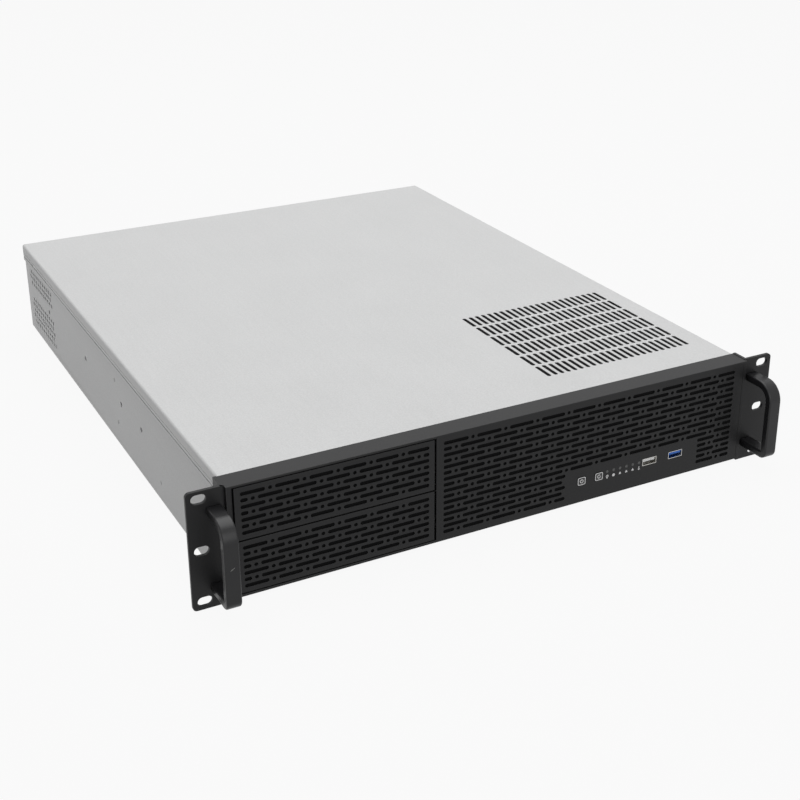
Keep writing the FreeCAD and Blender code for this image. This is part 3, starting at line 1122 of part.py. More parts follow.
chassis_tray()
front_wall()
front_sill()
control_wall()
uprights = (
    ((BAY_INSIDE_RIGHT, f"{BAY_RIGHT} + sizes.post_left"), WALL_SILL_Z),
    ((f"{FIELD_LEFT} - sizes.post_step", f"{FIELD_LEFT} - sizes.post_step + sizes.post_wide"), CONTROL_TOP_Z),
    ((PANEL_RIGHT, INSIDE_HALF), CONTROL_TOP_Z),
)
for number, (across_span, upright_foot) in enumerate(uprights, start=1):
    front_upright(number, across_span, upright_foot)
front_bezel()
board_standoffs()
bay_cover("bay_cover_lower", "sizes.bay_foot")
bay_cover("bay_cover_upper", UPPER_FOOT)
top_cover()
rear_panel()
board_frame()
for card in range(round(size("sizes.card_count"))):
    slot_cover(card)
bay_cage()
drive_cage()
supply_bracket()
fan_wall()
board_posts()
power_inlet()
button("power_button", "0")
button("reset_button", "sizes.button_step")
control_board()
status_lamps()
for port, port_offset in (("first_port", "0"), ("second_port", "sizes.port_step")):
    port_shell(f"{port}_shell", port_offset)
    port_tongue(f"{port}_tongue", port_offset)
for label, hand in (("left", -1), ("right", 1)):
    rack_ear(f"rack_ear_{label}", hand)
    handle(f"handle_{label}", hand)
handle_screws()
card_screws()
cover_screws()
for piece in parts.values():
    piece.setExpression("Placement.Base.z", f"-{EAR_MIDDLE}")
doc.recompute()

for item in doc.Objects:
    if "Invalid" in item.State or "Error" in item.State:
        raise RuntimeError(f"{item.Name} did not compute: {item.State}")
for label, piece in parts.items():
    if piece.Shape.isNull() or not piece.Shape.isValid():
        raise RuntimeError(f"{label} has no valid shape")

os.makedirs("parts", exist_ok=True)
for label, piece in parts.items():
    piece.Shape.exportStep(f"parts/{label}.step")
    print(f"{label}: {len(piece.Shape.Solids)} solids, {piece.Shape.Volume:.0f} mm3")
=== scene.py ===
"""Looks of the empty 2U rackmount server case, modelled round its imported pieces.

Metres, in the part's own frame: X to the viewer's right, Y to the rear and Z up.
"""

import json
import logging
import math
from dataclasses import dataclass
from enum import Enum
from typing import Callable, Iterable

import bpy
from mathutils import Matrix, Vector

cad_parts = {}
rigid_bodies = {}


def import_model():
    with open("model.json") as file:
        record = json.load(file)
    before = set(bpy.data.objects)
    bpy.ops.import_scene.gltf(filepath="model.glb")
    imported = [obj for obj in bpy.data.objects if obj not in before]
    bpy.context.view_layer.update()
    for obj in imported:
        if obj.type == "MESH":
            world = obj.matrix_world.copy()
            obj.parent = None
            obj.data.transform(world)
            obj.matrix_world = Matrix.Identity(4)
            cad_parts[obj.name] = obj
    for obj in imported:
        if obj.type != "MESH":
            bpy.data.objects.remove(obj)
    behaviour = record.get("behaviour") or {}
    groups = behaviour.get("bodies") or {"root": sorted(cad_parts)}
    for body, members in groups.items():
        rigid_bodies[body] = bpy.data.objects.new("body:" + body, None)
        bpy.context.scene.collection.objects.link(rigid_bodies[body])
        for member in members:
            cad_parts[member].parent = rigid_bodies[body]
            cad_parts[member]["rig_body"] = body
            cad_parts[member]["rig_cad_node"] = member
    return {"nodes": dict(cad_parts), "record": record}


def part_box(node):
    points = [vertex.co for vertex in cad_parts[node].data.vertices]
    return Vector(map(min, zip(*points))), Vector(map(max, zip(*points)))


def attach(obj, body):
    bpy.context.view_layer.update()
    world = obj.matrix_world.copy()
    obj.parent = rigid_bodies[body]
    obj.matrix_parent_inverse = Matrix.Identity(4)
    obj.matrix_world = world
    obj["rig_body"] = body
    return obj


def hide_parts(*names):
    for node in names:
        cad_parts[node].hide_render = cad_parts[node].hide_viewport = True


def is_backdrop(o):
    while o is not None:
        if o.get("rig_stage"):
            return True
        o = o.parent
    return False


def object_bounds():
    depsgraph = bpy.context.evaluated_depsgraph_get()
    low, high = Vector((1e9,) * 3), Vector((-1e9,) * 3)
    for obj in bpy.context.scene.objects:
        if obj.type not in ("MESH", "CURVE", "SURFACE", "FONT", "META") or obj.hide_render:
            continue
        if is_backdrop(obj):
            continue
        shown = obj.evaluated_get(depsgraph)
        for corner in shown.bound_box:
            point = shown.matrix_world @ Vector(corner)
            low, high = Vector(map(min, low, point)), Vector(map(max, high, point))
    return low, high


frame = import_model()

log = logging.getLogger("rack_case")
MM = 0.001
HAIR = 0.01 * MM
LAMPS = 6
LAMP_RADIUS = 1.2 * MM
Colour = tuple[float, float, float, float]
Point = tuple[float, float, float]
Flat = tuple[float, float]
Material = bpy.types.Material
Piece = bpy.types.Object
Socket = bpy.types.NodeSocket
Test = Callable[[Vector, Vector], bool]


def grey(level: float) -> Colour:
    """Returns an opaque grey of that linear level."""
    return (level, level, level, 1.0)


def lamp_places() -> list[Flat]:
    """Returns the X and Z of the middle of each status lamp."""
    low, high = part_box("status_lamps")
    step = (high.x - low.x - 2 * LAMP_RADIUS) / (LAMPS - 1)
    return [(low.x + LAMP_RADIUS + index * step, (low.z + high.z) / 2) for index in range(LAMPS)]


class Term:
    """A number inside a material, so that shader maths reads as Python."""

    def __init__(self, desk: "Desk", socket: Socket) -> None:
        """Wraps a socket.

        Args:
            desk: The material's desk, which adds the nodes.
            socket: The output that carries the number.
        """
        self.desk = desk
        self.socket = socket

    def _math(self, operation: str, *inputs: "Term | float") -> "Term":
        """Returns the result of a Math node on the inputs."""
        node = self.desk.node("ShaderNodeMath", {"operation": operation}, dict(enumerate(inputs)))
        return Term(self.desk, node.outputs[0])

    def __add__(self, other: "Term | float") -> "Term":
        """Returns the sum."""
        return self._math("ADD", self, other)

    def __sub__(self, other: "Term | float") -> "Term":
        """Returns the difference."""
        return self._math("SUBTRACT", self, other)

    def __rsub__(self, other: "Term | float") -> "Term":
        """Returns the difference, the other way round."""
        return self._math("SUBTRACT", other, self)

    def __mul__(self, other: "Term | float") -> "Term":
        """Returns the product."""
        return self._math("MULTIPLY", self, other)

    __radd__ = __add__
    __rmul__ = __mul__

    def below(self, limit: float) -> "Term":
        """Returns 1 where the number is below the limit, else 0."""
        return self._math("LESS_THAN", self, limit)

    def size(self) -> "Term":
        """Returns the number without its sign."""
        return self._math("ABSOLUTE", self)

    def clamped(self) -> "Term":
        """Returns the number kept between 0 and 1."""
        return self._math("MINIMUM", self._math("MAXIMUM", self, 0.0), 1.0)


class Desk:
    """The node tree of one material or world, with one way to add a node."""

    def __init__(self, name: str, world: bpy.types.World | None = None) -> None:
        """Starts the tree of a new material of that name, or of a world, with only its output."""
        self.material = bpy.data.materials.new(name) if world is None else world
        self.material.use_nodes = True
        self.tree = self.material.node_tree
        self.tree.nodes.clear()
        self.output = self.tree.nodes.new(f"ShaderNodeOutput{'Material' if world is None else 'World'}")

    def node(self, kind: str, settings: dict | None = None, values: dict | None = None) -> bpy.types.Node:
        """Adds a node.

        Args:
            kind: The node's type.
            settings: Its own settings, set first.
            values: The value or link of each socket, by name or number.

        Returns:
            The new node.
        """
        made = self.tree.nodes.new(kind)
        for name, value in (settings or {}).items():
            setattr(made, name, value)
        for name, value in (values or {}).items():
            source = value.socket if isinstance(value, Term) else value
            if isinstance(source, Socket):
                self.tree.links.new(source, made.inputs[name])
            else:
                made.inputs[name].default_value = source
        return made

    def place(self) -> Socket:
        """Returns the point on the piece, in metres of the part's frame."""
        return self.node("ShaderNodeTexCoord").outputs["Object"]

    def along(self, place: Socket) -> tuple[Term, Term, Term]:
        """Returns the X, Y and Z of a place as numbers."""
        split = self.node("ShaderNodeSeparateXYZ", None, {0: place})
        return tuple(Term(self, split.outputs[axis]) for axis in range(3))

    def noise(self, place: Socket, scale: float, detail: float) -> Term:
        """Returns soft noise between about -0.5 and 0.5.

        Args:
            place: Where the noise is read.
            scale: Waves to the metre.
            detail: How many finer layers it has.

        Returns:
            The noise as a number.
        """
        values = {"Vector": place, "Scale": scale, "Detail": detail}
        made = self.node("ShaderNodeTexNoise", {"noise_dimensions": "3D"}, values)
        return Term(self, made.outputs["Fac"]) - 0.5

    def blend(self, share: Term, first: object, second: object) -> Socket:
        """Returns the first colour, turning into the second as the share goes from 0 to 1."""
        made = self.node("ShaderNodeMix", {"data_type": "RGBA"}, {0: share, 6: first, 7: second})
        return made.outputs[2]

    def shaded(self, level: Term, tint: Colour) -> Socket:
        """Returns the tint made darker or lighter by a level about 1."""
        made = self.node("ShaderNodeVectorMath", {"operation": "SCALE"}, {0: tint[:3], "Scale": level})
        return made.outputs[0]

    def bump(self, height: Term, distance: float, strength: float) -> Socket:
        """Returns a normal that a height bends, with the height's reach in metres."""
        values = {"Height": height, "Distance": distance, "Strength": strength}
        return self.node("ShaderNodeBump", None, values).outputs[0]

    def end(self, shader: bpy.types.Node) -> Material:
        """Ends the tree in a shader and returns what it belongs to."""
        self.tree.links.new(shader.outputs[0], self.output.inputs["Surface"])
        return self.material


@dataclass(frozen=True)
class Layer:
    """One layer of soft noise, and how much it changes a finish's tone and dullness.

    Its relief is a depth in metres and a strength, and its stretch scales the place first.
    """

    scale: float
    detail: float
    tone: float = 0.0
    dull: float = 0.0
    relief: Flat | None = None
    stretch: Point | None = None

    def noise(self, desk: Desk, place: Socket) -> Term:
        """Returns the layer's noise at a place."""
        if self.stretch:
            place = desk.node("ShaderNodeMapping", None, {"Vector": place, "Scale": self.stretch}).outputs[0]
        return desk.noise(place, self.scale, self.detail)


@dataclass(frozen=True)
class Finish:
    """A finish of one tint under layers of soft noise."""

    name: str
    tint: Colour
    dullness: float = 0.45
    metal: float = 0.0
    shine: float = 0.5
    coat: float = 0.0
    layers: tuple[Layer, ...] = ()

    def material(self) -> Material:
        """Returns the finished material."""
        desk = Desk(self.name)
        place = desk.place()
        noises = [layer.noise(desk, place) for layer in self.layers]
        values = {"Metallic": self.metal, "Specular IOR Level": self.shine, "Coat Weight": self.coat}
        values.update(self.varied(desk, place, noises))
        return desk.end(desk.node("ShaderNodeBsdfPrincipled", None, values))

    def varied(self, desk: Desk, place: Socket, noises: list[Term]) -> dict:
        """Returns what changes over the surface.

        Args:
            desk: The material's desk.
            place: The point on the piece.
            noises: The noise of each layer.

        Returns:
            The value of each varied socket, by name.
        """
        level: Term | float = 1.0
        values = {"Roughness": self.dullness}
        for layer, noise in zip(self.layers, noises):
            if layer.tone:
                level = level + noise * layer.tone
            if layer.dull:
                values["Roughness"] = values["Roughness"] + noise * layer.dull
            if layer.relief:
                values["Normal"] = desk.bump(noise, *layer.relief)
        values["Base Color"] = desk.shaded(level, self.tint)
        return values


@dataclass(frozen=True)
class ZincSheet(Finish):
    """Zinc-coated sheet: pale grey, half dull, with a fine speckle and faint rolling lines."""

    name: str = "zinc_coated_sheet"
    tint: Colour = (0.585, 0.588, 0.588, 1.0)
    dullness: float = 0.42
    metal: float = 0.12
    layers: tuple[Layer, ...] = (
        Layer(900.0, 3.0, tone=0.34, dull=0.18, relief=(0.02 * MM, 0.35)),
        Layer(18.0, 2.0, tone=0.06, dull=0.08),
        Layer(1.0, 1.0, tone=0.05, stretch=(900.0, 12.0, 900.0)),
    )


@dataclass(frozen=True)
class PowderCoat(Finish):
    """Black powder coat with a fine grain and a faint cloudiness."""

    name: str = "black_powder_coat"
    tint: Colour = (0.0125, 0.0125, 0.0132, 1.0)
    dullness: float = 0.46
    shine: float = 0.25
    layers: tuple[Layer, ...] = (
        Layer(1500.0, 2.0, tone=0.35, dull=0.12, relief=(0.06 * MM, 0.5)),
        Layer(25.0, 3.0, tone=0.25, dull=0.06),
    )


@dataclass(frozen=True)
class HandleCoat(Finish):
    """Satin black coat with one short pale scratch across the left handle's grip."""

    name: str = "satin_handle_coat"
    tint: Colour = (0.011, 0.011, 0.012, 1.0)
    dullness: float = 0.34
    shine: float = 0.35
    layers: tuple[Layer, ...] = (
        Layer(60.0, 3.0, tone=0.4, dull=0.1),
        Layer(1800.0, 1.0, relief=(0.04 * MM, 0.3)),
    )
    bare: Colour = (0.30, 0.30, 0.29, 1.0)
    bare_dull: float = 0.2
    scratch_at: Point = (-0.2228, -0.0327, 0.0)
    scratch_reach: float = 1.4 * MM
    scratch_slope: float = 0.6
    scratch_waver: float = 1.0 * MM
    scratch_half: float = 0.22 * MM

    def varied(self, desk: Desk, place: Socket, noises: list[Term]) -> dict:
        """Returns the coat's varied values with the scratch in its colour and dullness."""
        across, _, up = desk.along(place)
        beside = across - self.scratch_at[0]
        line = (up - self.scratch_at[2] - beside * self.scratch_slope + noises[0] * self.scratch_waver).size()
        scratch = line.below(self.scratch_half) * beside.size().below(self.scratch_reach)
        values = super().varied(desk, place, noises)
        values["Base Color"] = desk.blend(scratch, values["Base Color"], self.bare)
        values["Roughness"] = values["Roughness"] + scratch * self.bare_dull
        return values


@dataclass(frozen=True)
class MouldedPlastic(Finish):
    """Moulded plastic of one colour with a soft flow and a faint grain."""

    layers: tuple[Layer, ...] = (
        Layer(120.0, 2.0, tone=0.15),
        Layer(2500.0, 2.0, tone=0.1, dull=0.1, relief=(0.02 * MM, 0.4)),
    )


@dataclass(frozen=True)
class PlatedMetal(Finish):
    """Plated steel or brass with turning or drawing lines."""

    metal: float = 1.0
    layers: tuple[Layer, ...] = (
        Layer(1.0, 2.0, tone=0.15, dull=0.12, relief=(0.01 * MM, 0.4), stretch=(500.0, 500.0, 6000.0)),
        Layer(200.0, 2.0, tone=0.1, dull=0.1),
    )


@dataclass(frozen=True)
class LampPlastic(Finish):
    """Clear grey light guide, a little milky inside."""

    name: str = "lamp_plastic"
    tint: Colour = grey(0.07)
    dullness: float = 0.18
    coat: float = 0.2
    layers: tuple[Layer, ...] = (Layer(900.0, 2.0, tone=0.3, dull=0.1),)


@dataclass(frozen=True)
class PrintedInk(Finish):
    """Screen-printed ink: pale grey, slightly uneven, dull."""

    name: str = "printed_ink"
    tint: Colour = grey(0.92)
    dullness: float = 0.6
    layers: tuple[Layer, ...] = (Layer(2500.0, 3.0, tone=0.3, dull=0.2),)


@dataclass(frozen=True)
class BoardMask(Finish):
    """Circuit board: green mask over copper lines."""

    name: str = "circuit_board_mask"
    tint: Colour = (0.012, 0.075, 0.035, 1.0)
    dullness: float = 0.35
    layers: tuple[Layer, ...] = (Layer(300.0, 2.0, dull=0.2),)
    lines: Colour = (0.022, 0.125, 0.055, 1.0)
    line_scale: float = 260.0
    line_share: float = 0.04
    relief: Flat = (0.03 * MM, 0.5)

    def varied(self, desk: Desk, place: Socket, noises: list[Term]) -> dict:
        """Returns the mask's varied values over a net of copper lines."""
        net = {"Vector": place, "Scale": self.line_scale, "Mortar Size": self.line_share}
        copper = Term(desk, desk.node("ShaderNodeTexBrick", None, net).outputs["Fac"])
        return {
            "Base Color": desk.blend(copper, self.tint, self.lines),
            "Roughness": self.dullness + noises[0] * self.layers[0].dull,
            "Normal": desk.bump(copper, *self.relief),
        }


@dataclass(frozen=True)
class PaintedShadeCloth(Finish):
    """Near-black cloth with a fine open weave that shows nothing behind it: painted shade in place of the
    dark inside of the case.
    """

    # This material paints the shade inside the case that the slots look into.
    name: str = "filter_cloth"
    tint: Colour = (0.006, 0.006, 0.0065, 1.0)
    dullness: float = 0.85
    shine: float = 0.1
    layers: tuple[Layer, ...] = (Layer(150.0, 2.0, dull=0.2),)
    gap: Colour = grey(0.002)
    pitch: float = 0.5 * MM
    relief: Flat = (0.2 * MM, 0.6)

    def varied(self, desk: Desk, place: Socket, noises: list[Term]) -> dict:
        """Returns the weave's varied values, darker in the gaps between its threads."""
        cells = desk.node("ShaderNodeTexVoronoi", None, {"Vector": place, "Scale": 1 / self.pitch})
        weave = Term(desk, cells.outputs["Distance"])
        return {
            "Base Color": desk.blend(weave.clamped(), self.gap, self.tint),
            "Roughness": self.dullness + noises[0] * self.layers[0].dull,
            "Normal": desk.bump(weave, *self.relief),
        }


class Facing(Enum):
    """The side of the case that a punch or a bar faces, as its turn."""

    FRONT = (math.pi / 2, 0.0, 0.0)
    TOP = (0.0, 0.0, math.pi / 2)
    LEFT = (0.0, -math.pi / 2, 0.0)
    REAR = (-math.pi / 2, 0.0, 0.0)


class Bench:
    """Modelling steps on one piece at a time, made with Blender's operators."""

    @staticmethod
    def clear() -> None:
        """Leaves edit mode and deselects everything."""
        if bpy.context.object and bpy.context.object.mode != "OBJECT":
            Bench.leave()
        bpy.ops.object.select_all(action="DESELECT")

    @staticmethod
    def leave() -> None:
        """Returns to object mode."""
        bpy.ops.object.mode_set(mode="OBJECT")

    @staticmethod
    def take(piece: Piece) -> None:
        """Makes a piece the only selected and the active one."""
        Bench.clear()
        piece.select_set(True)
        bpy.context.view_layer.objects.active = piece

    @staticmethod
    def settle(piece: Piece) -> Piece:
        """Moves a piece's place, turn and scale into its mesh and returns it."""
        Bench.take(piece)
        bpy.ops.object.transform_apply(location=True, rotation=True, scale=True)
        return piece

    @staticmethod
    def named(name: str) -> Piece:
        """Names the piece that an operator has just made, and returns it."""
        piece = bpy.context.object
        piece.name = name
        piece.data.name = name
        return piece

    @staticmethod
    def block(name: str, low: Iterable[float], high: Iterable[float]) -> Piece:
        """Adds a block between two corners.

        Args:
            name: The piece's name.
            low: Its lowest corner, in metres.
            high: Its highest corner.

        Returns:
            The new piece.
        """
        Bench.clear()
        start, end = Vector(low), Vector(high)
        bpy.ops.mesh.primitive_cube_add(size=1, location=(start + end) / 2)
        piece = Bench.named(name)
        piece.scale = end - start
        return Bench.settle(piece)

    @staticmethod
    def drum(name: str, centre: Iterable[float], radius: float, length: float, facing: Facing,
             sides: int) -> Piece:
        """Adds a round bar about its centre, along the way that it faces.

        Args:
            name: The piece's name.
            centre: The middle of the bar.
            radius: Its radius.
            length: Its whole length.
            facing: The side of the case that its ends look to.
            sides: How many flats stand for the round.

        Returns:
            The new piece.
        """
        Bench.clear()
        bpy.ops.mesh.primitive_cylinder_add(vertices=sides, radius=radius, depth=length, location=centre,
                                            rotation=facing.value)
        return Bench.settle(Bench.named(name))

    @staticmethod
    def pan(name: str, low: Vector, high: Vector, sheet: float, edge: float) -> Piece:
        """Adds a folded pan that is open to the rear.

        Args:
            name: The piece's name.
            low: Its lowest corner.
            high: Its highest corner.
            sheet: The thickness of its sheet.
            edge: The radius of its edges round the face.

        Returns:
            The new piece.
        """
        pan = Bench.block(name, low, high)
        Bench.pick(pan, lambda centre, normal: normal.y > 0.9)
        bpy.ops.mesh.inset(thickness=sheet)
        depth = high.y - low.y - sheet
        bpy.ops.mesh.extrude_region_move(TRANSFORM_OT_translate={"value": (0, -depth, 0)})
        Bench.leave()
        Bench.round_edges(pan, lambda first, second: max(first.y, second.y) < low.y + 0.1 * MM, edge, 3)
        return pan

    @staticmethod
    def choose(piece: Piece, kind: str, parts: Iterable, test: Callable[[object], bool]) -> None:
        """Enters edit mode with only the parts selected that a test accepts.

        Args:
            piece: The piece to edit.
            kind: EDGE or FACE, the way of selecting.
            parts: The edges or faces of its mesh.
            test: Tells of one of them whether it is selected.
        """
        Bench.take(piece)
        mesh = piece.data
        for every in (mesh.vertices, mesh.edges, mesh.polygons):
            every.foreach_set("select", [False] * len(every))
        for part in parts:
            part.select = test(part)
        bpy.ops.object.mode_set(mode="EDIT")
        bpy.ops.mesh.select_mode(type=kind)

    @staticmethod
    def pick(piece: Piece, faces: Test) -> None:
        """Enters edit mode with the faces selected that a test of centre and normal accepts."""
        Bench.choose(piece, "FACE", piece.data.polygons, lambda face: faces(face.center, face.normal))

    @staticmethod
    def round_edges(piece: Piece, edges: Test, offset: float, segments: int) -> None:
        """Rounds the edges of a piece that a test of their two ends accepts."""
        ends = piece.data.vertices
        Bench.choose(piece, "EDGE", piece.data.edges,
                     lambda edge: edges(*(ends[index].co for index in edge.vertices)))
        bpy.ops.mesh.bevel(offset=offset, segments=segments)
        Bench.leave()

    @staticmethod
    def join(name: str, pieces: list[Piece]) -> Piece:
        """Joins pieces into one mesh of that name, placed at the origin."""
        Bench.clear()
        for piece in pieces:
            piece.select_set(True)
        bpy.context.view_layer.objects.active = pieces[0]
        if len(pieces) > 1:
            bpy.ops.object.join()
        return Bench.settle(Bench.named(name))

    @staticmethod
    def copies(pattern: Piece, places: Iterable[Iterable[float]]) -> list[Piece]:
        """Copies a pattern to each place, each copy with its own mesh, and removes the pattern."""
        made = []
        for place in places:
            copy = pattern.copy()
            copy.data = pattern.data.copy()
            copy.location = place
            bpy.context.scene.collection.objects.link(copy)
            made.append(copy)
        bpy.data.objects.remove(pattern, do_unlink=True)
        return made

    @staticmethod
    def cut(piece: Piece, cutters: list[Piece], operation: str = "DIFFERENCE") -> None:
        """Takes the cutters out of a piece, or adds them, and removes them.

        Args:
            piece: The piece that changes.
            cutters: Closed pieces that don't overlap each other.
            operation: DIFFERENCE to cut, UNION to add.
        """
        cutter = Bench.join("cutter", cutters)
        boolean = piece.modifiers.new("cut", "BOOLEAN")
        boolean.operation = operation
        boolean.solver = "EXACT"
        boolean.object = cutter
        Bench.take(piece)
        bpy.ops.object.modifier_apply(modifier=boolean.name)
        bpy.data.objects.remove(cutter, do_unlink=True)

    @staticmethod
    def soften(piece: Piece, width: float, segments: int, angle: float = 40.0) -> None:
        """Rounds every edge of a piece that is sharper than the angle in degrees."""
        bevel = piece.modifiers.new("soften", "BEVEL")
        bevel.width = width
        bevel.segments = segments
        bevel.limit_method = "ANGLE"
        bevel.angle_limit = math.radians(angle)
        Bench.take(piece)
        bpy.ops.object.modifier_apply(modifier=bevel.name)
        Bench.shade_evenly(piece, angle)

    @staticmethod
    def shade_evenly(piece: Piece, angle: float = 35.0) -> None:
        """Shades bends round and keeps large faces flat, with hard edges above the angle in degrees."""
        Bench.take(piece)
        bpy.ops.object.shade_smooth_by_angle(angle=math.radians(angle))
        weighted = piece.modifiers.new("even", "WEIGHTED_NORMAL")
        weighted.mode = "FACE_AREA"
        weighted.weight = 100
        weighted.keep_sharp = True
        bpy.ops.object.modifier_apply(modifier=weighted.name)

    @staticmethod
    def frame_copy(node: str, name: str) -> Piece:
        """Returns a copy of a piece of the frame, its corners merged, ready to be cut."""
        source = frame["nodes"][node]
        copy = source.copy()
        copy.data = source.data.copy()
        copy.parent = None
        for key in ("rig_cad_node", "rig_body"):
            del copy[key]
        copy.name = name
        bpy.context.scene.collection.objects.link(copy)
        Bench.take(copy)
        bpy.ops.object.mode_set(mode="EDIT")
        bpy.ops.mesh.select_all(action="SELECT")
        bpy.ops.mesh.remove_doubles(threshold=HAIR)
        Bench.leave()
        return copy

    @staticmethod
    def hand_over(piece: Piece, body: str, slot: str, material: Material, *nodes: str) -> Piece:
        """Dresses a finished piece and ties it to the frame.

        Args:
            piece: The finished piece.
            body: The body that it rides on.
            slot: The record's slot that its finish belongs to, or nothing where it has none; not used.
            material: Its finish.
            *nodes: The pieces of the frame that it stands for.

        Returns:
            The piece.
        """
        piece.data.materials.clear()
        piece.data.materials.append(material)
        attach(piece, body)
        if nodes:
            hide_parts(*nodes)
        log.info("%s: %d faces on %s", piece.name, len(piece.data.polygons), body)
        return piece


@dataclass(frozen=True)
class Punch:
    """A punch for a round-ended slot, or for a round hole where it is as long as it is high."""

    length: float
    height: float
    facing: Facing
    reach: float
    sides: int = 16
    lead: float = 0.15 * MM

    def made(self) -> Piece:
        """Returns the punch at the origin, with its flared lead at the punched face."""
        Bench.clear()
        half_step = math.pi / self.sides
        bpy.ops.mesh.primitive_cylinder_add(
            vertices=self.sides, radius=self.height / 2, depth=self.reach,
            location=(0, 0, -self.lead - self.reach / 2), rotation=(0, 0, half_step))
        punch = Bench.settle(Bench.named("punch"))
        stretch = (self.length - self.height) / 2
        for corner in punch.data.vertices:
            corner.co.x += math.copysign(stretch, corner.co.x)
        Bench.pick(punch, lambda centre, normal: normal.z > 0.9)
        bpy.ops.mesh.extrude_region_move(TRANSFORM_OT_translate={"value": (0, 0, 2 * self.lead)})
        # The lead flares by twice its depth on every side.
        grown = (1 + 4 * self.lead / self.length, 1 + 4 * self.lead / self.height, 1)
        bpy.ops.transform.resize(value=grown, center_override=(0, 0, self.lead))
        Bench.leave()
        punch.rotation_euler = self.facing.value
        return punch


@dataclass(frozen=True)
class Grille:
    """Rows of long slots with a small round hole in the middle of each web between them."""

    left: float
    right: float
    pitch: float
    slot: float
    row_pitch: float
    slot_height: float = 2.75 * MM
    dot: float = 2.7 * MM

    @property
    def web(self) -> float:
        """Returns the sheet between two slots of a row."""
        return self.pitch - self.slot

    def spans(self, row: int) -> list[Flat]:
        """Returns the ends of each slot of a row; odd rows start half a pitch earlier."""
        start = self.left - self.pitch / 2 if row % 2 else self.left
        found = []
        while start < self.right:
            span = (max(start, self.left), min(start + self.slot, self.right))
            if span[1] - span[0] > self.slot_height + MM:
                found.append(span)
            start += self.pitch
        return found

    def dots(self, spans: list[Flat]) -> list[float]:
        """Returns the middle of each web between the slots of a row, but not across a plain field."""
        webs = [(first[1], second[0]) for first, second in zip(spans, spans[1:])]
        return [(start + end) / 2 for start, end in webs if end - start < 1.5 * self.web]

    def punches(self, rows: Iterable[tuple[float, list[Flat]]], face: float, reach: float) -> list[Piece]:
        """Makes the punches of all the rows.

        Args:
            rows: The height and the slot ends of each row.
            face: The front face that is punched, along Y.
            reach: How far a punch goes in.

        Returns:
            The punches, ready to cut.
        """
        by_length: dict[float, list[Point]] = {}
        dots: list[Point] = []
        for height, spans in rows:
            for start, end in spans:
                by_length.setdefault(round(end - start, 6), []).append(((start + end) / 2, face, height))
            dots.extend((across, face, height) for across in self.dots(spans))
        made = []
        for length, places in by_length.items():
            made.extend(Bench.copies(Punch(length, self.slot_height, Facing.FRONT, reach).made(), places))
        made.extend(Bench.copies(Punch(self.dot, self.dot, Facing.FRONT, reach, sides=12).made(), dots))
        return made


